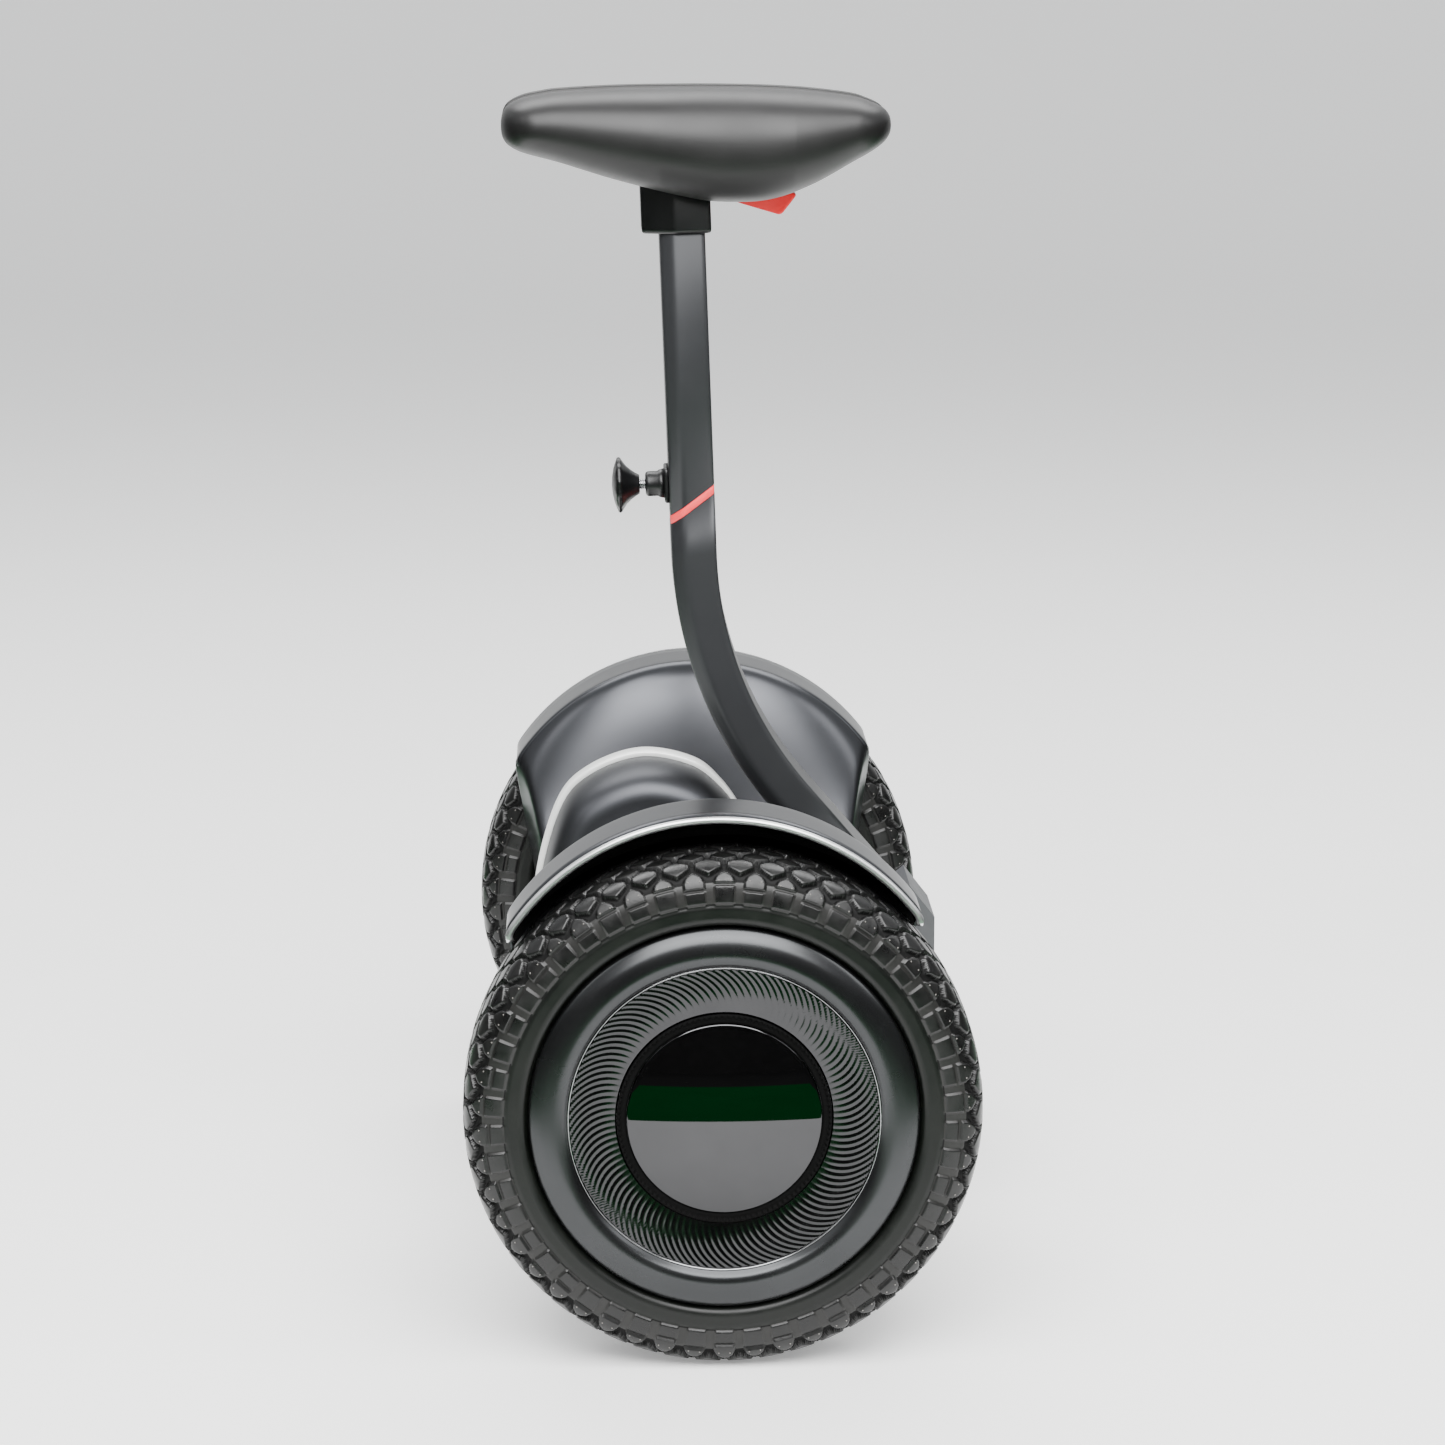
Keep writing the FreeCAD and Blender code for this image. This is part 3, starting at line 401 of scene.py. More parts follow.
def normals_of(line: Array) -> Array:
    """The unit normals of a plane line, to the left of its direction."""
    along = np.gradient(line, axis=0)
    normal = np.stack([-along[:, 1], along[:, 0]], -1)
    return normal / np.linalg.norm(normal, axis=1)[:, None]


def eased(low: float, high: float, value: Array) -> Array:
    """A smooth step from 0 at low to 1 at high."""
    share = np.clip((value - low) / (high - low), 0, 1)
    return share * share * (3 - 2 * share)


def ring_of(name: str, points: Array, finish: Finish) -> bpy.types.Object:
    """One object from a grid of points that closes on itself both ways."""
    return outward(object_from(name, points, grid_faces(*points.shape[:2], True, True), [finish]))


def screw_heads(name: str, centres: Sequence, stages: Sequence[tuple[float, float]], hollow: float,
                placed: Callable[[Array, Array, Array], Array]) -> bpy.types.Object:
    """Domed screw heads, each with a hexagon hollow.

    Args:
        name: the piece's name.
        centres: the middle of each screw, two numbers in its plane.
        stages: radius and height from the foot of a head inwards; radius 0 stands for the hexagon.
        hollow: half the hexagon's width across flats.
        placed: turns two places in the plane and a height into the vehicle's frame.

    Returns:
        The new object.
    """
    ring = np.linspace(0, 2 * math.pi, 24, endpoint=False)
    hexagon = hollow / np.cos((ring + math.pi / 6) % (math.pi / 3) - math.pi / 6)
    rows = [(0 * ring + reach if reach else hexagon, height) for reach, height in stages]
    points, faces = [], []
    for count, (across, up) in enumerate(centres):
        points += [placed(across + reach * np.cos(ring), up + reach * np.sin(ring), height + 0 * ring)
                   for reach, height in rows]
        start = count * 24 * len(rows)
        faces += grid_faces(len(rows), 24, False, True, start).tolist()
        faces += [[start + n for n in range(24)], [start + 24 * (len(rows) - 1) + n for n in range(24)]]
    return outward(object_from(name, np.concatenate(points), faces, [BARE_STEEL], smooth=False))


def settle(item: bpy.types.Object, body: str, slot: str, *nodes: str) -> bpy.types.Object:
    """Give a new piece its body, hide the nodes it stands for, and report it.

    Args:
        item: the piece.
        body: the body it rides on.
        slot: the record's material slot; not used.
        nodes: the CAD nodes it replaces.

    Returns:
        The same piece.
    """
    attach(item, body)
    if nodes:
        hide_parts(*nodes)
    LOG.info("%s: %d faces", item.name, len(item.data.polygons))
    return item


# ---------------------------------------------------------------- wheels

@dataclass
class Wheel:
    """One wheel: tyre with its tread, and the three rings of the hub cover.

    Points are worked out as seen from outside the wheel: u to the viewer's right, v up and w towards
    the viewer, and then turned to the wheel's own side.
    """

    word: str
    side: int
    track: float = 476.0
    axle_height: float = 133.5
    radius: float = 133.5
    pitches: int = 50
    groove_depth: float = 2.9
    row_step: float = 11.9
    ribs: int = 114

    def placed(self, u: Array, v: Array, w: Array) -> Array:
        """Points seen from outside the wheel, in the vehicle's own frame."""
        return np.stack([-self.side * u, self.side * (w + self.track / 2), v + self.axle_height], -1)

    def build(self) -> None:
        """Make every piece of the wheel."""
        self.tyre()
        self.tyre_pips()
        self.hub_ring()
        self.swirl_ring()
        self.cap()
        self.recess()
        self.valve()
        self.cover_screws()

    def section(self) -> tuple[Array, Array, Array]:
        """Half of the tyre's outline, from the middle of the crown to the bead.

        Returns:
            Points as (radius, place), their outward normals, and each point's distance along the outline
            from the middle of the crown.
        """
        half = [(133.5, 0), (133.4, 8), (133.1, 16), (132.2, 22), (130.2, 26.6), (126.8, 30.2), (121.8, 32.8),
                (116.0, 34.0), (110.5, 34.0), (106.0, 33.2), (102.8, 32.0), (101.2, 30.6), (100.6, 28.6)]
        line = smooth_line(half, 600)

        def density(along: Array) -> Array:
            """Close samples over the tread, closer still where the sipes cross."""
            return np.where(along > 49.5, 0.5, 1.25) + 1.0 * np.exp(-((along - 37.5) / 3.6) ** 2)
        points = resampled(line, 82, density)
        steps = np.linalg.norm(np.diff(points, axis=0), axis=1)
        return points, -normals_of(points), np.concatenate([[0], np.cumsum(steps)])

    def relief(self, turn: Array, off: Array) -> Array:
        """How high the rubber stands, 0 in a groove and 1 on a block.

        The blocks are cells of a honeycomb, found as the points nearer to one cell centre than to any
        other. The outermost row runs on down the sidewall as lugs, and a thin sipe crosses each lug.

        Args:
            turn: place round the wheel in tread pitches.
            off: signed distance from the middle of the crown in millimetres.

        Returns:
            The height share at each point.
        """
        pitch = 2 * math.pi * self.radius / self.pitches
        distance = np.abs(off)
        inner = np.minimum(distance, 3 * self.row_step)
        centres = []
        for row in range(4):
            shift = 0.5 * (row % 2)
            nearest = np.round(turn - shift)
            for step in (-1, 0, 1):
                across = (turn - (nearest + shift + step)) * pitch
                for sign in ((1,) if row in (0, 3) else (1, -1)):
                    centres.append(np.hypot(across, inner - sign * row * self.row_step))
        ranked = np.sort(np.stack(centres), axis=0)
        between = (ranked[1] - ranked[0]) / 2
        half_gap = 1.05 + 1.3 * eased(31, 35, distance)
        block = eased(0, 0.7, between - half_gap)
        cell = np.round(turn - 0.5)
        sipe = np.where(cell % 2 == 0, 36.2, 39.2)
        cut = eased(0.5, 1.1, np.abs(distance - sipe))
        lug = 1 - 0.3 * eased(0, 0.4, distance - sipe)
        ending = 1 - eased(46.2, 48.6, distance)
        channel = 0.3 * eased(32.5, 36, distance)
        return np.maximum(block * cut * lug, channel) * ending

    def tyre(self) -> None:
        """The tyre in two halves: its outline swept round the axle, sunk along its normal in the grooves.

        Formula: point = outline(s) - depth * (1 - relief(turn, s)) * normal(s), turned by the angle.
        """
        points, normal, off = self.section()
        steps = self.pitches * 22
        turn = np.arange(steps) / steps * self.pitches
        grid_turn, grid_off = np.meshgrid(turn, off, indexing="ij")
        height = self.relief(grid_turn, grid_off)
        fade = 1 - eased(46, 50, grid_off)
        sunk = self.groove_depth * (1 - height) * fade + 1.2 * (1 - fade) * (1 - eased(51, 57, grid_off))
        radius = points[None, :, 0] - sunk * normal[None, :, 0]
        place = points[None, :, 1] - sunk * normal[None, :, 1]
        # the closing strip under the bead and up the middle, out of sight
        closing = np.array([[98.6, 27.5], [98.6, 0.0]])
        radius = np.concatenate([radius, np.broadcast_to(closing[:, 0], (steps, 2))], 1)
        place = np.concatenate([place, np.broadcast_to(closing[:, 1], (steps, 2))], 1)
        angle = (turn / self.pitches * 2 * math.pi)[:, None]
        columns = radius.shape[1]
        faces = grid_faces(steps, columns, True, True)
        level = np.concatenate([height * fade, np.zeros((steps, 2))], 1)
        off_all = np.concatenate([grid_off, np.full((steps, 2), 60.0)], 1).ravel()[faces].mean(1)
        mean = level.ravel()[faces].mean(1)
        # faces low in the relief take the groove rubber, darkened as painted shade; faces in the outer
        # channels take the channel rubber, painted paler as a painted highlight
        picks = np.where(mean > 0.5, 0, np.where((off_all > 33) & (mean > 0.22), 3, 1))
        picks = np.where(off_all > 48.0, 2, picks)
        for half, way in (("outboard", 1), ("inboard", -1)):
            mesh_points = self.placed(radius * np.cos(angle), radius * np.sin(angle), way * place)
            item = object_from(f"{self.word}_tyre_{half}", mesh_points, faces,
                               [TREAD_RUBBER, GROOVE_RUBBER, SIDEWALL_RUBBER, CHANNEL_RUBBER], picks)
            turn_out(item)
            settle(item, f"{self.word}_wheel", "tyre_rubber", *([f"{self.word}_tyre"] if way > 0 else []))

    def tyre_pips(self) -> None:
        """The little round nubs left by the mould's vents, on each lug and on the sidewall."""
        angles = (np.arange(self.pitches) + 0.5) / self.pitches * 2 * math.pi
        nudge = 2.9 / 125
        spots = [(124.9, a + way * nudge, s * 31.5, 0.42, s)
                 for a in angles for s in (1, -1) for way in (1, -1)]
        spots += [(106.4, math.radians(6 + 45 * n), s * 31.2, 0.75, s) for n in range(8) for s in (1, -1)]
        centres = np.array([(r * math.cos(a), r * math.sin(a), w) for r, a, w, _, _ in spots])
        leans = np.array([(math.cos(a), math.sin(a)) for _, a, _, _, _ in spots])
        size = np.array([z for _, _, _, z, _ in spots])[:, None, None]
        facing = np.array([s for *_, s in spots])[:, None]
        ring = np.linspace(0, 2 * math.pi, 8, endpoint=False)
        lift = np.array([-0.6, 0.35, 0.8])
        reach = np.array([1.0, 0.85, 0.35])
        # each nub is three rings of eight points, in its own plane along the wall
        around = (reach[:, None] * np.cos(ring)).ravel()
        upward = (reach[:, None] * np.sin(ring)).ravel()
        proud = np.repeat(lift, 8)
        u = centres[:, :1] + size[:, 0] * (around * leans[:, :1] - upward * leans[:, 1:])
        v = centres[:, 1:2] + size[:, 0] * (around * leans[:, 1:] + upward * leans[:, :1])
        w = centres[:, 2:] + size[:, 0] * proud * facing
        points = self.placed(u, v, w).reshape(-1, 3)
        one = grid_faces(3, 8, False, True)
        faces = [row for k in range(len(spots)) for row in (one + 24 * k).tolist()]
        faces += [[24 * k + 16 + n for n in range(8)] for k in range(len(spots))]
        faces += [[24 * k + 7 - n for n in range(8)] for k in range(len(spots))]
        item = outward(object_from(f"{self.word}_tyre_pips", points, faces, [PIP_RUBBER]))
        settle(item, f"{self.word}_wheel", "tyre_rubber")

    def swept(self, name: str, profile: Sequence[tuple[float, float]], finish: Finish,
              steps: int = 180) -> bpy.types.Object:
        """A closed profile of (radius, w) swept round the axle.

        Args:
            name: the piece's name.
            profile: corners of the closed loop; radius 0 closes on the axle's line.
            finish: its finish.
            steps: points round the turn.

        Returns:
            The new object.
        """
        loop = np.array(profile, float)
        angle = np.linspace(0, 2 * math.pi, steps, endpoint=False)[:, None]
        radius, place = loop[None, :, 0], loop[None, :, 1]
        points = self.placed(radius * np.cos(angle), radius * np.sin(angle), place + 0 * angle)
        return ring_of(name, points, finish)

    def hub_ring(self) -> None:
        """The satin outer ring: a broad convex band with a fine bright lip on its inner edge."""
        crown = smooth_line([(100.0, 29.6), (99.3, 31.6), (97.0, 33.6), (93.5, 35.4), (89.5, 36.4),
                             (86.0, 36.6), (82.6, 35.6), (80.2, 33.5)], 36)
        loop = [(99.0, 28.4), (100.0, 29.2)] + [tuple(p) for p in crown] + [(79.7, 33.0), (79.6, 28.4)]
        item = self.swept(f"{self.word}_hub_ring_skin", loop, HUB_SATIN, 200)
        settle(item, f"{self.word}_wheel", "satin_hub_plastic", f"{self.word}_hub_ring")
        lip = [(79.4, 31.8), (79.7, 33.2), (79.95, 33.55), (79.5, 33.6), (79.15, 33.3), (79.0, 31.8)]
        item = self.swept(f"{self.word}_hub_ring_lip", lip, LIP_CHROME, 200)
        settle(item, f"{self.word}_wheel", "satin_hub_plastic")

    def swirl_ring(self) -> None:
        """The dark mirror ring with its fine curved ribs.

        Formula: w = dish(r) + height(r) * rib(angle), where rib is a rounded ridge repeated round the
        ring, height fades towards the middle, and the angle is twisted in proportion to the distance
        from the outer edge, most of it close to that edge.
        """
        around, across = self.ribs * 10, 30
        radius = np.linspace(79.3, 55.0, across)
        angle = np.linspace(0, 2 * math.pi, around, endpoint=False)
        grid_angle, grid_radius = np.meshgrid(angle, radius, indexing="ij")
        share = (79.3 - grid_radius) / 24.3
        twist = math.radians(12.5) * (1 - (1 - share) ** 2.3)
        phase = (grid_angle + twist) * self.ribs
        rib = np.abs(np.sin(phase / 2)) ** 0.8
        height = 0.62 * (1 - eased(0.3, 0.95, share)) + 0.03
        dish = 32.9 - 3.0 * share ** 1.15
        place = dish + height * (rib - 0.6)
        top = self.placed(grid_radius * np.cos(grid_angle), grid_radius * np.sin(grid_angle), place)
        under = self.placed(grid_radius * np.cos(grid_angle), grid_radius * np.sin(grid_angle),
                            np.full_like(place, 28.3))[:, ::-1]
        under = under[:, [0, -1]]
        points = np.concatenate([top, under], 1)
        item = ring_of(f"{self.word}_swirl_ring_ribs", points, DARK_CHROME)
        settle(item, f"{self.word}_wheel", "dark_chrome", f"{self.word}_swirl_ring")

    def cap(self) -> None:
        """The mirror cap: a shallow dome with a rolled rim."""
        arc = np.linspace(0, 1, 26)
        dome = [(49.0 * t, 36.0 - 4.6 * t ** 2) for t in arc]
        loop = dome + [(49.6, 31.2), (49.8, 30.7), (49.75, 30.1), (49.6, 28.4), (0.0, 28.4)]
        item = self.swept(f"{self.word}_cap_dome", loop, CAP_MIRROR, 180)
        settle(item, f"{self.word}_wheel", "gloss_cap", f"{self.word}_hub_cap")

    def recess(self) -> None:
        """The toothed channel between the cap and the ribs, painted near black as painted shade.

        Formula: the outer wall's radius steps in and out once for each rib.
        """
        around = self.ribs * 8
        angle = np.linspace(0, 2 * math.pi, around, endpoint=False)[:, None]
        tooth = eased(0.35, 0.65, 0.5 + 0.5 * np.cos(angle * self.ribs))
        rows = [(50.0, 28.6, 0), (50.0, 30.6, 0), (52.2, 30.4, 0), (52.9, 30.4, 0.9), (53.2, 31.6, 0.9),
                (54.8, 31.9, 0), (54.8, 28.6, 0)]
        radius = np.concatenate([r + k * tooth for r, _, k in rows], 1)
        place = np.concatenate([w + 0 * tooth for _, w, _ in rows], 1)
        points = self.placed(radius * np.cos(angle), radius * np.sin(angle), place)
        item = ring_of(f"{self.word}_cap_recess", points, RECESS_SHADE)
        settle(item, f"{self.word}_wheel", "black_plastic")

    def valve(self) -> None:
        """The rubber valve stem on the inboard sidewall, with its knurled cap."""
        lean = math.radians(250)
        line = [(98.5, -30.0), (98.0, -32.5), (97.6, -35.4)]
        base, tip = np.array(line[0]), np.array(line[-1])
        ring = np.linspace(0, 2 * math.pi, 24, endpoint=False)
        stages = [(0.0, 3.2), (0.25, 3.1), (0.3, 2.3), (0.55, 2.3), (0.56, 3.0), (0.95, 3.0), (1.0, 2.5)]
        knurl = 1 + 0.06 * np.cos(ring * 12)
        rows = []
        for share, size in stages:
            spot = base + (tip - base) * share
            bump = knurl if share > 0.5 else 1 + 0 * ring
            rows.append((spot[0] + 0 * ring, spot[1] + 0 * ring, size * bump * np.cos(ring),
                         size * bump * np.sin(ring)))
        grid = np.array(rows)
        radial = grid[:, 0] - 4.5 + grid[:, 2]
        u = radial * math.cos(lean) - grid[:, 3] * math.sin(lean)
        v = radial * math.sin(lean) + grid[:, 3] * math.cos(lean)
        points = self.placed(u, v, grid[:, 1]).reshape(-1, 3)
        faces = grid_faces(len(stages), 24, False, True).tolist()
        faces += [list(range(24))[::-1], [24 * (len(stages) - 1) + n for n in range(24)]]
        item = outward(object_from(f"{self.word}_valve_stem", points, faces, [BLACK_PLASTIC]))
        settle(item, f"{self.word}_wheel", "soft_rubber")

    def cover_screws(self) -> None:
        """Six socket screws round the motor's inboard cover."""
        turn = np.radians(30 + 60 * np.arange(6))
        stages = [(4.2, -31.8), (4.2, -33.0), (3.5, -34.2), (0, -34.4), (0, -32.6)]
        centres = 86 * np.stack([np.cos(turn), np.sin(turn)], -1)
        item = screw_heads(f"{self.word}_cover_screws", centres, stages, 1.75, self.placed)
        settle(item, f"{self.word}_wheel", "bearing_steel")


def turn_out(item: bpy.types.Object) -> bpy.types.Object:
    """Turn a closed mesh's faces outwards if the volume they enclose is negative.

    Args:
        item: the object.

    Returns:
        The same object.
    """
    work = bmesh.new()
    work.from_mesh(item.data)
    if work.calc_volume(signed=True) < 0:
        bmesh.ops.reverse_faces(work, faces=work.faces)
        work.to_mesh(item.data)
    work.free()
    return item


# ---------------------------------------------------------------- body shells

def softened(line: Array, count: int, reach: float) -> Array:
    """A line resampled evenly with its corners rounded.

    Formula: each point becomes the bell-weighted mean of its neighbours, and the ends stay put.

    Args:
        line: the corners of the line.
        count: points to give.
        reach: the bell's half-width in millimetres.

    Returns:
        A count by n array.
    """
    even = resampled(np.asarray(line, float), count)
    step = np.linalg.norm(np.diff(even, axis=0), axis=1).mean()
    span = max(1, int(round(2.2 * reach / step)))
    weight = np.exp(-0.5 * (np.arange(-span, span + 1) * step / max(reach, 1e-3)) ** 2)
    weight /= weight.sum()
    before = 2 * even[0] - even[1:span + 1][::-1]
    after = 2 * even[-1] - even[-span - 1:-1][::-1]
    longer = np.vstack([before, even, after])
    return np.stack([np.convolve(longer[:, axis], weight, "valid") for axis in range(even.shape[1])], -1)


def arc_through(first: Array, middle: Array, last: Array, count: int) -> Array:
    """Points on the circle through three points, from the first over the middle to the last.

    Args:
        first: start point.
        middle: a point between.
        last: end point.
        count: points to give.

    Returns:
        A count by 2 array.
    """
    given = np.array([first, middle, last], float)
    squares = (given ** 2).sum(1)
    centre = np.linalg.solve(2 * np.diff(given, axis=0), np.diff(squares))
    (start_x, start_y), _, (end_x, end_y) = given - centre
    angle = np.linspace(math.atan2(start_y, start_x), math.atan2(end_y, end_x), count)
    return centre + math.hypot(start_x, start_y) * np.stack([np.cos(angle), np.sin(angle)], -1)


def walled(item: bpy.types.Object, thick_mm: float) -> bpy.types.Object:
    """Give an open surface a wall inwards, with its rim closed."""
    wall = item.modifiers.new("wall", "SOLIDIFY")
    wall.thickness, wall.offset, wall.use_even_offset = thick_mm * MM, -1.0, True
    return item


def swept_loop(name: str, loops: Array, finish: Finish) -> bpy.types.Object:
    """A closed section carried through several stations, its two ends capped.

    Args:
        name: the piece's name.
        loops: stations by points by 3, in millimetres.
        finish: its finish.

    Returns:
        The new object.
    """
    stations, around = loops.shape[:2]
    faces = grid_faces(stations, around, False, True).tolist()
    faces += [list(range(around))[::-1], [(stations - 1) * around + n for n in range(around)]]
    return outward(object_from(name, loops, faces, [finish]))


def staged(name: str, outline: Array, stages: Sequence[tuple[float, float]],
           placed: Callable[[Array, Array, Array], Array], finish: Finish) -> bpy.types.Object:
    """A flat outline carried through stages, each with its own place and scale, which ease its edges.

    Args:
        name: the piece's name.
        outline: points of the closed outline.
        stages: place along the sweep, and scale of the outline there.
        placed: turns two outline places and a sweep place into the vehicle's frame.
        finish: its finish.

    Returns:
        The new object.
    """
    sweep = np.array([place for place, _ in stages])[:, None] + 0 * outline[None, :, 0]
    scale = np.array([size for _, size in stages])[:, None]
    return swept_loop(name, placed(outline[None, :, 0] * scale, outline[None, :, 1] * scale, sweep), finish)


@dataclass
class Fender:
    """One fender: the skin that sweeps up from the deck, the lip over the tyre, and a near-black sheet of
    painted shade inside the arch.
    """

    word: str
    side: int
    deck_half: float = 150.0
    wheel_side: float = 197.0
    lip_side: float = 240.0
    shell_rear: float = 94.0
    shell_front: float = 90.0
    deck_height: float = 178.5
    ridge_height: float = 284.0
    low: float = 120.0
    axle_height: float = 133.5
    well: float = 139.5
    wall_thick: float = 3.2
    roll: float = 1.9
    lip_ends: tuple = ((-110.2, 219.0), (102.6, 226.2))
    lip_arch: tuple = ((-112, 222.5), (-4, 284), (104, 229.5))

    def build(self) -> None:
        """Make the skin, the lip, the sheet of painted shade inside the arch and the wheel-side wall."""
        self.skin()
        self.lip()
        self.liner()
        self.wall()

    def across(self, lines: Array, places: Array) -> Array:
        """Lines of (x, z) set at places across the vehicle, one for each line or each of its points."""
        y = np.broadcast_to(places * self.side, lines.shape[:2] + (1,))
        return np.concatenate([lines[..., :1], y, lines[..., 1:]], -1)

    def outline(self, share: float) -> Array:
        """The fore-and-aft outline at one place, from the rear foot over the top to the front foot.

        Args:
            share: 0 at the deck and 1 at the ridge.

        Returns:
            Points as (x, z).
        """
        rise = eased(0, 1, np.array(share + 0.57 * max(share - 0.25, 0.0) * (1 - share)))
        rear, front = -(self.shell_rear - 4 + 22 * share), self.shell_front - 4 + 18 * share
        rear_top, front_top = self.deck_height - 2.5 + 46.5 * rise, self.deck_height - 2.5 + 53.5 * rise
        crest = self.deck_height + (self.ridge_height - self.deck_height) * rise
        arch = arc_through((rear, rear_top), ((rear + front) / 2, crest), (front, front_top), 60)
        line = np.vstack([[(-self.shell_rear, self.low)], arch, [(self.shell_front, self.low)]])
        return softened(line, 150, 3.5)

    def skin(self) -> None:
        """The inboard skin.

        Formula: at each distance from the middle the outline rises by a smooth step from the deck's to
        the ridge's, and the wall is given inwards.
        """
        shares = np.concatenate([np.linspace(0, 1, 46), [1.0]])
        reach = self.wheel_side - 1.5 - self.deck_half
        places = self.deck_half + reach * np.concatenate([np.linspace(0, 1, 46), [1 + 1.5 / reach]])
        lines = np.stack([self.outline(share) for share in shares])
        faces = grid_faces(*lines.shape[:2])
        faces = faces[:, ::-1] if self.side > 0 else faces
        skin = object_from(f"{self.word}_fender_skin", self.across(lines, places[:, None, None]), faces,
                           [BODY_SATIN])
        item = walled(skin, self.wall_thick)
        settle(item, "chassis", "satin_shell", f"{self.word}_fender")

    def lip_line(self, inset: float) -> Array:
        """The lip's outline, drawn inwards by an inset."""
        line = np.vstack([self.lip_ends[:1], arc_through(*self.lip_arch, 80), self.lip_ends[1:]])
        line = softened(line, 150, 3.5)
        return line - inset * normals_of(line)

    def lip(self) -> None:
        """The lip: a thin wing that runs on from the skin, and its rolled edge, painted lighter as a painted
        highlight.
        """
        roll = [(self.lip_side - self.roll * (1 - math.cos(a)), 1.8 - self.roll * math.sin(a))
                for a in np.linspace(0, 2 * math.pi, 16, endpoint=False)]
        wheel, edge = self.wheel_side, self.lip_side
        wing = [(wheel - 6, 3.0), (wheel - 5.6, 1.4), (wheel - 4.6, 0.55), (wheel - 3.4, 0.2),
                (wheel - 2, 0.03),
                (wheel, -0.03), (wheel + 4, -0.04), (edge - 14, 0.0), (edge - 2.0, 0.05), (edge - 2.0, 2.6),
                (edge - 6, self.wall_thick), (wheel - 6, self.wall_thick)]
        for name, loop, finish in (("lip", wing, BODY_SATIN), ("lip_edge", roll, LIP_HIGHLIGHT)):
            rows = np.stack([self.lip_line(inset) for _, inset in loop], 1)
            points = self.across(rows, np.array([place for place, _ in loop])[None, :, None])
            settle(swept_loop(f"{self.word}_fender_{name}", points, finish), "chassis", "satin_shell")

    def liner(self) -> None:
        """A sheet inside the lip, down to the wheel's room, painted near black as painted shade."""
        arm = self.lip_line(3.3) - (0, self.axle_height)
        radius = np.linalg.norm(arm, axis=1)[:, None]
        reach = np.maximum(radius, self.well - 3.6)
        outer = (0, self.axle_height) + arm / radius * reach
        inner = (0, self.axle_height) + arm / radius * np.clip(reach - 0.6, self.well - 4.2, self.well)
        rows = np.stack([outer, outer, inner, inner], 1)
        places = np.array([self.wheel_side - 1, self.lip_side - 9, self.lip_side - 9, self.wheel_side - 1])
        item = swept_loop(f"{self.word}_arch_liner", self.across(rows, places[None, :, None]), RECESS_SHADE)
        settle(item, "chassis", "black_plastic")

    def wall(self) -> None:
        """The wheel-side wall: the ridge outline shrunk in rings towards the axle's hole."""
        line = self.outline(1.0)
        closed = np.vstack([line, np.linspace(line[-1], line[0], 42)[1:-1]])
        arm = closed - (0, self.axle_height)
        hole = arm / np.linalg.norm(arm, axis=1)[:, None] * 10
        shares = np.linspace(0.985, 0, 8)[:, None, None]
        rings = hole + (arm - hole) * shares + (0, self.axle_height)
        points = self.across(rings, np.array(self.wheel_side - 0.2))
        faces = grid_faces(8, len(closed), False, True)
        faces = faces if self.side > 0 else faces[:, ::-1]
        item = walled(object_from(f"{self.word}_wheel_side_wall", points, faces, [RECESS_SHADE]), 3.3)
        settle(item, "chassis", "black_plastic")


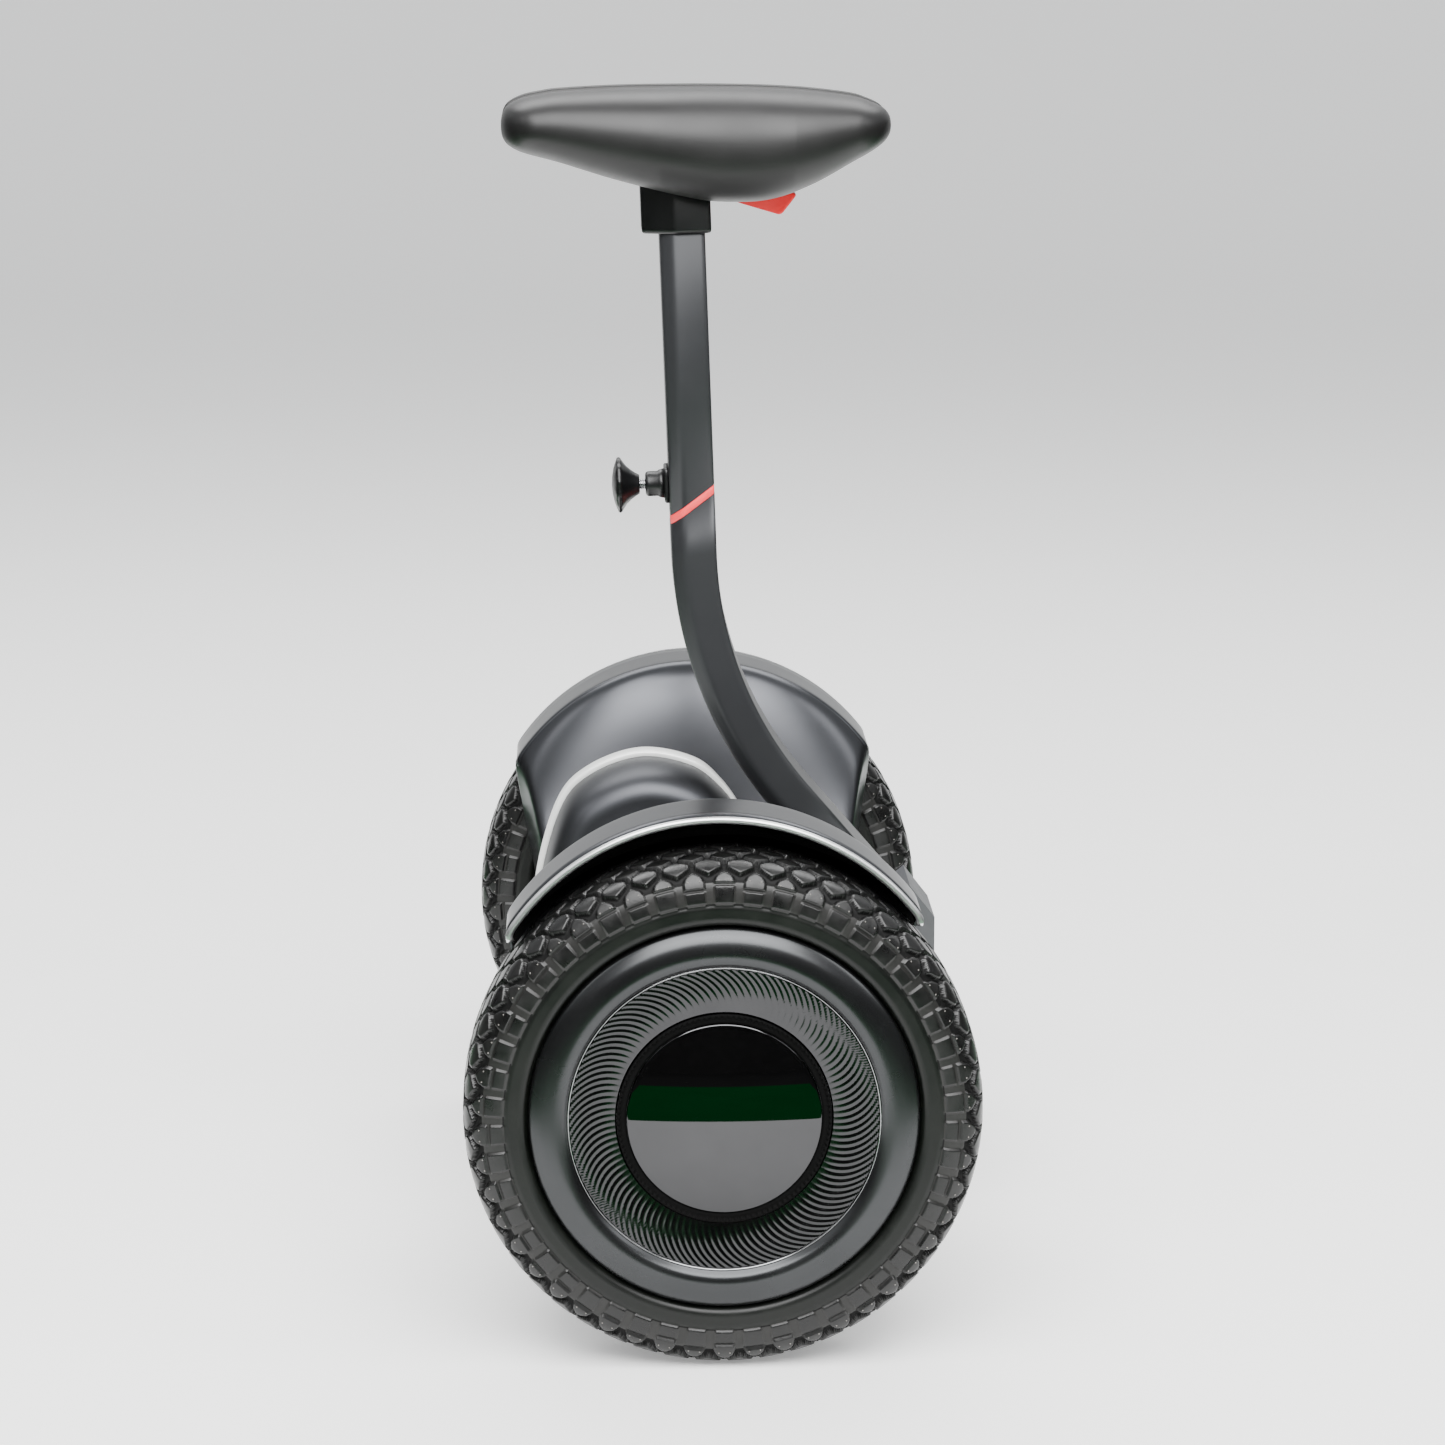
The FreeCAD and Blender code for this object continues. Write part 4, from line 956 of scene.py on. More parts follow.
@dataclass
class Hump:
    """The rounded hump over the electronics, with the strip along its crest, painted pale as a painted
    highlight.
    """

    half: float = 46.0
    centre: float = -17.0
    base: float = 150.5
    profile: tuple = ((-96, 150.5), (-95, 195), (-83, 238.5), (-66.5, 257), (-38.4, 267), (-10.3, 262),
                      (6, 249.5),
                      (19, 232), (38, 204), (57, 172), (62, 150.5))

    def build(self) -> None:
        """Make the dome and the strip."""
        self.dome()
        self.strip()

    def crest(self, count: int) -> Array:
        """The hump's side outline as evenly spaced points (x, z)."""
        return resampled(smooth_line(self.profile, 400), count)

    def dome(self) -> None:
        """The dome: its outline scaled down across its width by a full, rounded law.

        Formula: y = half * sin(p)^0.7 and fullness = cos(p)^0.7; the outline is drawn towards its
        middle by 0.17 of what fullness lacks, and each flank closes on a slightly domed face.
        """
        line = self.crest(110)
        turn = np.linspace(-math.pi / 2, math.pi / 2, 61)
        full = np.abs(np.cos(turn)) ** 0.7
        y = self.half * 0.965 * np.sign(turn) * np.abs(np.sin(turn)) ** 0.7
        flank = np.linspace(0.02, 0.97, 12)
        shrink = np.concatenate([flank, np.ones(61), flank[::-1]])
        full = np.concatenate([np.zeros(12), full, np.zeros(12)])
        bulge = 3.0 * (1 - flank ** 2)
        y = np.concatenate([y[0] - bulge, y, y[-1] + bulge[::-1]])
        deep = (line[None, :, 0] - self.centre) * (0.83 + 0.17 * full)[:, None] * shrink[:, None]
        middle = 0.34 * (267 - self.base)
        tall = (line[None, :, 1] - self.base) * (0.83 + 0.17 * full)[:, None]
        tall = middle + (tall - middle) * shrink[:, None]
        points = np.stack([self.centre + deep, np.broadcast_to(y[:, None], deep.shape), self.base + tall], -1)
        faces = grid_faces(*deep.shape, False, True).tolist()
        faces += [list(range(110)), [84 * 110 + n for n in range(110)]]
        item = outward(object_from("hump_dome", points, faces, [HUMP_SATIN]))
        settle(item, "chassis", "satin_shell", "hump_cover")

    def strip(self) -> None:
        """The strip: a slim section with eased edges, carried along the crest and thinner in front."""
        line = self.crest(160)
        line = line[(line[:, 1] > 177)]
        slim = 1 - 0.62 * eased(-8, 22, line[:, 0])
        section = [(-1.0, -2.0), (-1.0, 2.0), (-0.93, 2.7), (-0.82, 3.0), (0.82, 3.0), (0.93, 2.7),
                   (1.0, 2.0), (1.0, -2.0)]
        wide = np.array([w for w, _ in section])[None, :] * 6.4 * slim[:, None]
        lift = np.array([h for _, h in section])[None, :] * np.where(slim[:, None] < 1,
                0.4 + 0.6 * slim[:, None], 1)
        spot = line[:, None, :] + normals_of(line)[:, None, :] * lift[..., None]
        # the strip's pale silver paint is a painted highlight along the crest
        item = swept_loop("hump_crest_strip", np.stack([spot[..., 0], wide, spot[..., 1]], -1), SILVER_TRIM_AND_HIGHLIGHT)
        settle(item, "chassis", "trim_silver", "hump_trim")


# ---------------------------------------------------------------- steering post

@dataclass
class Post:
    """The steering post: bent lower stem, joint stripe, sliding sleeve, collar and clamp knob.

    Points are worked out upright, from the post's own corner, and then leaned back with it.
    """

    ahead: float = -5.5
    corner: float = 304.1
    lean: float = 2.1
    bend: float = 38.6
    bend_radius: float = 225.0
    foot_length: float = 158.0
    deep: float = 25.0
    wide: float = 42.0
    chamfer: float = 7.0
    stripe_rear: float = 95.5
    stripe_front: float = 113.0
    sleeve_top: float = 275.0
    clamp_height: float = 117.0

    def build(self) -> None:
        """Make every piece of the post."""
        self.lower_stem()
        self.bar("steering_sleeve", 5.2, self.sleeve_top, 0.0, POST_PAINT, "sleeve", "stem_paint",
                 "upper_tube")
        self.bar("joint_stripe", 0.15, None, 0.12, STRIPE_RED, "steering", "stripe_red", "stripe_ring")
        self.collar()
        self.knob()
        self.boss()
        self.screw()

    def leaned(self, u: Array, v: Array, w: Array) -> Array:
        """Upright points (ahead u, sideways v, up w) in the vehicle's frame."""
        turn = math.radians(-self.lean)
        return np.stack([self.ahead + u * math.cos(turn) + w * math.sin(turn), v + 0 * u,
                         self.corner - u * math.sin(turn) + w * math.cos(turn)], -1)

    def section(self, inset: float = 0.0, round_mm: float = 1.6) -> Array:
        """The tube's outline: square in front, chamfered behind, with small rounds, as (u, v)."""
        d, w = self.deep / 2 - inset, self.wide / 2 - inset
        corners = np.array([(d, 0), (d, w), (self.chamfer - d, w), (-d, w - self.chamfer),
                            (-d, self.chamfer - w),
                            (self.chamfer - d, -w), (d, -w), (d, 0)], float)
        return softened(corners, 97, round_mm)[:-1]

    def joint(self, u: Array) -> Array:
        """Height of the slanted joint line at a distance ahead of the tube's middle."""
        slope = (self.stripe_front - self.stripe_rear) / self.deep
        return self.stripe_rear + (u + self.deep / 2) * slope

    def lower_stem(self) -> None:
        """The bent stem: its outline carried down a straight, round an arc and on to the foot."""
        outline = self.section()
        reach = self.bend_radius * math.tan(math.radians(self.bend / 2))
        turn = np.concatenate([[0.0], np.linspace(0, math.radians(self.bend), 40), [math.radians(self.bend)]])
        u = outline[None, :, 0]
        centre_u = self.bend_radius - (self.bend_radius - u) * np.cos(turn)[:, None]
        centre_w = reach - (self.bend_radius - u) * np.sin(turn)[:, None]
        run = self.foot_length - reach
        centre_u[-1] += run * math.sin(turn[-1])
        centre_w[-1] -= run * math.cos(turn[-1])
        centre_w[0] = self.joint(outline[:, 0])
        v = np.broadcast_to(outline[None, :, 1], centre_u.shape)
        item = swept_loop("lower_stem_bar", self.leaned(centre_u, v, centre_w), POST_PAINT)
        settle(item, "steering", "stem_paint", "lower_stem")

    def bar(self, name: str, rise: float, top: Optional[float], inset: float, finish: Finish, body: str,
            slot: str, node: str) -> None:
        """A straight bar of the tube's outline from the joint line upwards.

        Args:
            name: the piece's name.
            rise: height of its foot over the joint line.
            top: height of its flat top, or None for a ring parallel to the joint line.
            inset: how much slimmer than the tube it is.
            finish: its finish.
            body: the body it rides on.
            slot: its material slot.
            node: the node it stands for.
        """
        outline = self.section(inset)
        foot = self.joint(outline[:, 0]) + rise
        head = self.joint(outline[:, 0]) + 5.05 if top is None else np.full(len(outline), top)
        heights = np.stack([foot, foot + 0.3, head - 0.3, head])
        shrink = np.array([0.988, 1, 1, 0.988])[:, None]
        item = swept_loop(name, self.leaned(outline[None, :, 0] * shrink, outline[None, :, 1] * shrink,
                                            heights), finish)
        settle(item, body, slot, node)

    def collar(self) -> None:
        """The collar under the knee pads: a faceted block with eased edges and a shadow line at its foot."""
        corners = np.array([(16, 0), (16, 24), (-4, 24), (-22, 12), (-22, -12), (-4, -24), (16, -24),
                            (16, 0)], float)
        outline = softened(corners, 121, 1.1)[:-1]
        stages = [(256.3, 0.90), (256.5, 0.955), (257.3, 0.99), (259.0, 1.0), (282.2, 1.0), (283.5, 0.985),
                  (284.0, 0.95)]
        item = staged("pad_collar", outline, stages, self.leaned, BLACK_PLASTIC)
        settle(item, "sleeve", "black_plastic", "collar")

    def lathe(self, name: str, profile: Sequence[tuple[float, float]], finish: Finish, steps: int = 72,
              flutes: int = 0, flute: float = 0.0, bored: bool = False) -> bpy.types.Object:
        """A profile of (radius, place) turned round the clamp screw's axis, which runs fore and aft.

        Args:
            name: the piece's name.
            profile: points from one end to the other.
            finish: its finish.
            steps: points round the turn.
            flutes: number of finger flutes on the rim.
            flute: their depth.
            bored: True if the profile is a closed loop round a bore.

        Returns:
            The new object.
        """
        loop = np.array(profile, float)
        turn = np.linspace(0, 2 * math.pi, steps, endpoint=False)[None, :]
        rim = (loop[:, :1] / loop[:, 0].max()) ** 6
        wave = 0.5 + 0.5 * np.cos(turn * flutes) if flutes else 0 * turn
        radius = loop[:, :1] - flute * rim * wave
        u = loop[:, 1:] + 0 * turn
        points = self.leaned(u, radius * np.cos(turn), self.clamp_height + radius * np.sin(turn))
        if bored:
            return ring_of(name, points, finish)
        return swept_loop(name, points, finish)

    def knob(self) -> None:
        """The clamp knob: a thin dished disc with a soft rim, narrowing to its neck."""
        back = -self.deep / 2
        profile = [(0.3, back - 31.4), (5.0, back - 31.1), (9.5, back - 30.2), (13.0, back - 29.0),
                   (15.2, back - 28.1),
                   (15.6, back - 27.2), (15.1, back - 26.2), (13.4, back - 25.2), (10.6, back - 23.2),
                   (8.2, back - 20.6),
                   (6.5, back - 18.2), (5.6, back - 16.6), (5.2, back - 16.0), (0.3, back - 16.0)]
        item = self.lathe("clamp_knob_disc", profile, BLACK_PLASTIC, 96, 12, 0.7)
        settle(item, "knob", "black_plastic", "clamp_knob")

    def boss(self) -> None:
        """The boss on the tube's back: a rounded plate and a stepped barrel."""
        back = -self.deep / 2
        item = self.lathe("clamp_boss_barrel", [(3.4, back - 12.8), (5.6, back - 12.8), (6.6, back - 12.2),
                                                (7.0, back - 11.0), (7.0, back - 6.0), (7.6, back - 5.2),
                                                (8.4, back - 2.2), (4.5, back - 2.2), (4.5, back - 9.5),
                                                (3.4, back - 9.5)],
                          BLACK_PLASTIC, 64, bored=True)
        settle(item, "sleeve", "black_plastic", "clamp_boss")
        corners = np.array([(0, -10), (12, -10), (12, 10), (-12, 10), (-12, -10), (0, -10)], float)
        outline = softened(corners, 73, 2.2)[:-1]
        bore = outline / np.linalg.norm(outline, axis=1)[:, None] * 4.5
        rows = np.stack([outline, outline, outline * 0.94, bore, bore])
        u = back - np.array([0.0, 1.7, 2.4, 2.4, 0.0])[:, None] + 0 * rows[..., 0]
        points = self.leaned(u, rows[..., 0], self.clamp_height + rows[..., 1])
        item = ring_of("clamp_boss_plate", points, BLACK_PLASTIC)
        settle(item, "sleeve", "black_plastic")

    def screw(self) -> None:
        """The clamp screw, with the turns of its thread as shallow rings."""
        back = -self.deep / 2
        places = np.linspace(back - 16.2, back - 2.2, 57)
        radius = 2.75 + 0.25 * np.cos(np.arange(57) * math.pi / 2)
        item = self.lathe("clamp_screw_thread", [(0.2, places[0])] + list(zip(radius, places)) + [(0.2,
                places[-1])],
                          BARE_STEEL, 32)
        settle(item, "knob", "bare_alloy", "clamp_screw")


@dataclass
class KneePads:
    """The two boat-shaped knee pads and their release lever."""

    inner: float = 13.0
    outer: float = 58.8
    stations: tuple = ((-113, 616.5, 621.5), (-112.0, 612.3, 626.0), (-109, 608.4, 629.8),
                       (-102, 604.8, 633.2),
                       (-92, 602.0, 635.4), (-80.7, 599.0, 636.9), (-50, 589.6, 638.5),
                       (-16.6, 581.4, 639.0), (4.8, 578, 639.0),
                       (31.6, 579, 638.4), (55, 587, 637.0), (78, 599.6, 634.2), (87, 604.6, 631.6),
                       (94, 609.4, 628.4), (97.4, 613.6, 624.6), (98.4, 617.0, 621.0))

    def build(self) -> None:
        """Make both pads and the lever."""
        for side in Side:
            self.pad(side.word, side.value)
        self.lever()

    def pad(self, word: str, side: int) -> None:
        """One pad: rounded sections carried from its rear nose to its front nose.

        Formula: each section is a superellipse, full outboard and nearly flat inboard, whose height and
        reach follow two smooth lines along the pad; the reach shrinks with the height at the noses.

        Args:
            word: left or right.
            side: 1 for the left, -1 for the right.
        """
        line = smooth_line(self.stations, 400)
        line = resampled(line, 400)
        x, low, high = line[:, 0], line[:, 1], line[:, 2]
        ends = np.clip(np.minimum(x + 113.0, 98.4 - x) / 20.0, 0, 1)
        nose = np.sqrt(1 - (1 - ends) ** 2.4)
        half = (high - low) / 2
        share = np.clip(half * 2 / 55.0, 0, 1)
        reach = (self.outer - self.inner) * (0.55 + 0.45 * share) * (0.3 + 0.7 * nose)
        turn = np.linspace(0, 2 * math.pi, 72, endpoint=False)[None, :]
        bulge_out = np.abs(np.cos(turn)) ** 0.74
        bulge_in = np.abs(np.cos(turn)) ** 0.4
        flat = 5.0 * (0.3 + 0.7 * nose)
        y = self.inner + np.where(np.cos(turn) > 0, flat[:, None] + (reach - flat)[:, None] * bulge_out,
                                  flat[:, None] * (1 - bulge_in))
        climb = np.sign(np.sin(turn)) * np.abs(np.sin(turn)) ** 0.9
        z = ((high + low) / 2)[:, None] + half[:, None] * climb
        points = np.stack([np.broadcast_to(x[:, None], y.shape), side * y, z], -1)[::2]
        item = swept_loop(f"{word}_knee_pad_skin", points, PAD_SKIN)
        settle(item, "sleeve", "pad_skin", f"{word}_knee_pad")

    def lever(self) -> None:
        """The release lever: a blade with eased edges."""
        corners = np.array([(2, 597), (-2, 597), (-2, 588), (15.5, 576.1), (39.5, 569), (48.5, 580.5),
                            (9.5, 596), (2, 597)], float)
        outline = softened(corners, 91, 1.3)[:-1]
        middle = outline.mean(0)
        half = [(-9.0, 0.93), (-8.7, 0.965), (-7.8, 0.99), (-6.5, 1.0)]
        stages = half + [(-place, scale) for place, scale in half[::-1]]

        def placed(x: Array, z: Array, y: Array) -> Array:
            """The blade's own places, from its middle, in the vehicle's frame."""
            return np.stack([x + middle[0], y, z + middle[1]], -1)
        item = staged("release_lever_blade", outline - middle, stages, placed, LEVER_RED)
        settle(item, "lever", "lever_red", "release_lever")


# ---------------------------------------------------------------- deck, lamps, rear panel and belly

@dataclass
class Details:
    """The raised patterns and small fittings of the deck, the lamps, the rear panel and the belly."""

    mat_front: float = 74.0
    mat_rear: float = -70.0
    mat_height: float = 184.5
    mat_inner: float = 58.0
    mat_outer: float = 142.0
    lamp_face: float = 91.0
    rear_lamp_face: float = -99.0
    button_place: tuple[float, float] = (-70.0, 143.0)
    flap_place: tuple[float, float] = (70.0, 144.5)
    belly_height: float = 79.9

    def build(self) -> None:
        """Make every detail."""
        for side in Side:
            self.mat_tread(side.word, side.value)
            self.front_lamp_fins(side.word, side.value)
            self.belly_louvres(side.word, side.value)
        self.rear_lamp_fins()
        self.button_ring()
        self.charge_frame()
        self.belly_ribs()
        self.cover_sockets()

    def plate(self, name: str, first: Array, second: Array, height: Array, deep: float, axes: str,
              finish: Finish) -> bpy.types.Object:
        """A closed plate whose outer face is a height field over a grid.

        Args:
            name: the piece's name.
            first: places along the first axis in millimetres.
            second: places along the second axis.
            height: the outer face's place along the third axis, one for each grid point.
            deep: the inner face's place along the third axis.
            axes: the three axes in the order first, second, third, such as xyz.
            finish: its finish.

        Returns:
            The new object.
        """
        grid_first, grid_second = np.meshgrid(first, second, indexing="ij")
        levels = (height, np.full_like(height, deep))
        sheets = [np.stack([grid_first, grid_second, level], -1) for level in levels]
        points = np.concatenate(sheets).reshape(-1, 3)
        points = points[:, [axes.index(axis) for axis in "xyz"]]
        rows, columns = height.shape
        top = grid_faces(rows, columns)
        number = np.arange(rows * columns).reshape(rows, columns)
        rim = np.concatenate([number[:-1, 0], number[-1, :-1], number[:0:-1, -1], number[0, :0:-1]])
        following = np.roll(rim, -1)
        below = rows * columns
        wall = np.stack([rim, rim + below, following + below, following], -1)
        faces = np.concatenate([top, top[:, ::-1] + below, wall])
        return outward(object_from(name, points, faces, [finish]))

    @staticmethod
    def inside(first: Array, second: Array) -> tuple[Array, Array, Array]:
        """The grid over two rows of places, and each point's distance from the grid's border."""
        wide, tall = np.meshgrid(first, second, indexing="ij")
        edge = np.minimum(np.minimum(wide - first[0], first[-1] - wide),
                          np.minimum(tall - second[0], second[-1] - tall))
        return wide, tall, edge

    def mat_tread(self, word: str, side: int) -> None:
        """The mat's raised tread: slanted pills in a staggered pattern, with a plain border.

        Formula: height = 1.0 * step(2.1 - distance to the nearest pill's axis), for pills about 13 mm long
        and 3.4 mm wide, every 9 mm across and every 18 mm along, turned 26 degrees.
        """
        x = np.linspace(self.mat_rear + 2.5, self.mat_front - 2.5, 232)
        y = np.linspace(self.mat_inner, self.mat_outer, 140)
        grid_x, grid_y, edge = self.inside(x, y)
        column = np.round((grid_y - 100) / 9.0)
        along = grid_x - 2 - 9 * (column % 2)
        local_x = along - 18 * np.round(along / 18)
        local_y = grid_y - 100 - 9 * column
        lean = math.radians(26)
        axis = local_x * math.cos(lean) + local_y * math.sin(lean)
        across = -local_x * math.sin(lean) + local_y * math.cos(lean)
        away = np.hypot(np.maximum(np.abs(axis) - 4.6, 0), across)
        pill = (1 - eased(1.3, 2.1, away)) * eased(5.0, 5.6, edge)
        border = 1 - eased(1.6, 2.4, np.abs(edge - 2.2) * 1.4)
        height = self.mat_height + 0.15 + 1.0 * np.maximum(pill, 0.75 * border) * eased(0, 0.5, edge)
        item = self.plate(f"{word}_mat_tread", x, side * y, height, self.mat_height - 1.0, "xyz", MAT_RUBBER)
        settle(item, f"{word}_mat", "mat_rubber")

    def front_lamp_fins(self, word: str, side: int) -> None:
        """Vertical fins moulded in the front lamp's lens."""
        y, z = np.linspace(49, 101, 160), np.linspace(141.5, 149.5, 14)
        grid_y, _, edge = self.inside(y, z)
        height = self.lamp_face + (0.25 + 0.55 * np.abs(np.sin((grid_y - 49) * math.pi / 4.0))) * eased(0,
                0.9, edge)
        item = self.plate(f"{word}_lamp_fins", side * y, z, height, 90.0, "yzx", LENS_CLEAR)
        settle(item, "chassis", "lamp_clear")

    def rear_lamp_fins(self) -> None:
        """Crossed fins moulded in the rear lamp's lens, like a reflector's."""
        y, z = np.linspace(-24.5, 24.5, 160), np.linspace(159.2, 167.8, 32)
        grid_y, grid_z, edge = self.inside(y, z)
        fins = np.abs(np.sin(grid_y * math.pi / 3.5)) * np.abs(np.sin((grid_z - 159.2) * math.pi / 2.9))
        height = self.rear_lamp_face - (0.2 + 0.6 * fins) * eased(0, 0.9, edge)
        item = self.plate("rear_lamp_fins", y, z, height, -98.0, "yzx", LENS_RED)
        settle(item, "chassis", "lamp_red")

    def ring(self, name: str, y: float, z: float, profile: Sequence[tuple[float, float]], finish: Finish,
             corner: float = 2.0, stretch: tuple[float, float] = (1.0, 1.0)) -> bpy.types.Object:
        """A closed profile of (radius, x) carried round a superellipse in the rear panel's plane.

        Args:
            name: the piece's name.
            y: the ring's middle sideways.
            z: the ring's middle upwards.
            profile: corners of the closed loop.
            finish: its finish.
            corner: 2 for a circle, more for a rounded square.
            stretch: scale sideways and upwards.

        Returns:
            The new object.
        """
        loop = np.array(profile, float)
        turn = np.linspace(0, 2 * math.pi, 96, endpoint=False)[:, None]
        wide = np.sign(np.cos(turn)) * np.abs(np.cos(turn)) ** (2 / corner) * stretch[0]
        tall = np.sign(np.sin(turn)) * np.abs(np.sin(turn)) ** (2 / corner) * stretch[1]
        radius, x = loop[None, :, 0], loop[None, :, 1]
        points = np.stack([x + 0 * turn, y + radius * wide, z + radius * tall], -1)
        return ring_of(name, points, finish)

    def button_ring(self) -> None:
        """The polished ring round the power button, and the pale ring on the button's face."""
        ring = [(8.7, -93.5), (8.7, -95.2), (9.1, -95.7), (10.0, -95.8), (10.8, -95.5), (11.1, -94.8),
                (11.1, -93.5)]
        settle(self.ring("power_button_ring", *self.button_place, ring, BARE_STEEL), "chassis", "bare_alloy")
        mark = [(3.9, -95.5), (3.9, -96.25), (4.2, -96.4), (5.0, -96.4), (5.3, -96.25), (5.3, -95.5)]
        settle(self.ring("power_button_mark", *self.button_place, mark, SILVER_TRIM_AND_HIGHLIGHT), "power_button",
               "trim_silver")

    def charge_frame(self) -> None:
        """The raised frame round the charge flap."""
        rim = [(12.3, -93.5), (12.3, -94.9), (12.7, -95.3), (13.6, -95.3), (14.0, -94.9), (14.0, -93.5)]
        item = self.ring("charge_flap_frame", *self.flap_place, rim, BLACK_PLASTIC, 3.0, (1.0, 1.05))
        settle(item, "chassis", "black_plastic")

    def belly_ribs(self) -> None:
        """Long stiffening ribs under the battery cover."""
        x, y = np.linspace(-57, 52, 100), np.linspace(-86, 86, 240)
        _, grid_y, edge = self.inside(x, y)
        rib = (1 - eased(1.4, 2.2, np.abs((grid_y + 11) % 22 - 11))) * eased(6, 7.5, edge)
        frame_rib = 1 - eased(1.2, 2.0, np.abs(edge - 3.0))
        height = self.belly_height - 1.1 * np.maximum(rib, frame_rib)
        item = self.plate("battery_cover_ribs", x, y, height, 81.0, "xyz", BELLY_PLASTIC)
        settle(item, "chassis", "belly_plastic")

    def belly_louvres(self, word: str, side: int) -> None:
        """Louvres in the belly beside the battery cover."""
        x, y = np.linspace(-42, 40, 120), np.linspace(108, 134, 30)
        grid_x, _, edge = self.inside(x, y)
        saw = ((grid_x + 42) % 6.0) / 6.0
        height = self.belly_height - 1.4 * saw * eased(1.0, 1.8, edge) - 0.5 * (1 - eased(0.6, 1.2, edge))
        item = self.plate(f"{word}_belly_louvres", x, side * y, height, 81.0, "xyz", BELLY_PLASTIC)
        settle(item, "chassis", "belly_plastic")

    def cover_sockets(self) -> None:
        """Raised heads with a hexagon hollow over the belly's screws."""
        centres = [(x, y) for x in (-70, 66) for y in (-150, -60, 60, 150)]
        stages = [(4.4, 80.5), (4.4, 79.0), (3.9, 78.5), (0, 78.5), (0, 80.0)]
        item = screw_heads("belly_screw_heads", centres, stages, 1.9, lambda x, y, z: np.stack([x, y, z], -1))
        settle(item, "chassis", "bearing_steel")


# ---------------------------------------------------------------- body pieces kept from the frame

DRESS: tuple[tuple[Finish, str], ...] = (
    (BODY_SATIN, "left_fender right_fender upper_shell hump_cover"),
    (BELLY_PLASTIC, "lower_shell battery_cover"),
    (BARE_STEEL, "belly_screws steering_bearings pivot_shaft clamp_screw lever_pin"),
    (SILVER_TRIM_AND_HIGHLIGHT, "hump_trim"),
    (LENS_CLEAR, "front_lamp"),
    (LENS_RED, "rear_lamp"),
    (CAST_ALLOY, "chassis_frame axle_clamps steering_bracket stem_foot"),
    (PACK_WRAP, "battery_pack"),
    (BOARD_GREEN, "control_board"),
    (MAT_RUBBER, "foot_sensors centring_rubber charge_cap left_foot_mat right_foot_mat"),
    (POST_PAINT, "lower_stem upper_tube"),
    (STRIPE_RED, "stripe_ring"),
    (TUBE_ALLOY, "inner_tube"),
    (LEVER_RED, "release_lever"),
    (PAD_SKIN, "left_knee_pad right_knee_pad"),
)
WHEEL_DRESS: tuple[tuple[Finish, str], ...] = (
    (BARE_STEEL, "axle magnet_ring wheel_bearings"),
    (COPPER, "stator"),
    (CAST_ALLOY, "motor_shell motor_cover"),
)


def dress_frame(nodes: dict[str, bpy.types.Object]) -> None:
    """Give every CAD node that stays in view its finish, or black plastic if no finish is listed for it.

    Args:
        nodes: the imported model's nodes by name.
    """
    chosen = {name: finish for finish, names in DRESS for name in names.split()}
    chosen.update({f"{side.word}_{name}": finish for side in Side for finish, names in WHEEL_DRESS
                   for name in names.split()})
    for name, node in nodes.items():
        finish = chosen.get(name, BLACK_PLASTIC)
        made = finish.build()
        if not node.data.materials:
            node.data.materials.append(made)
        for place in range(len(node.material_slots)):
            node.material_slots[place].material = made


# ---------------------------------------------------------------- studio

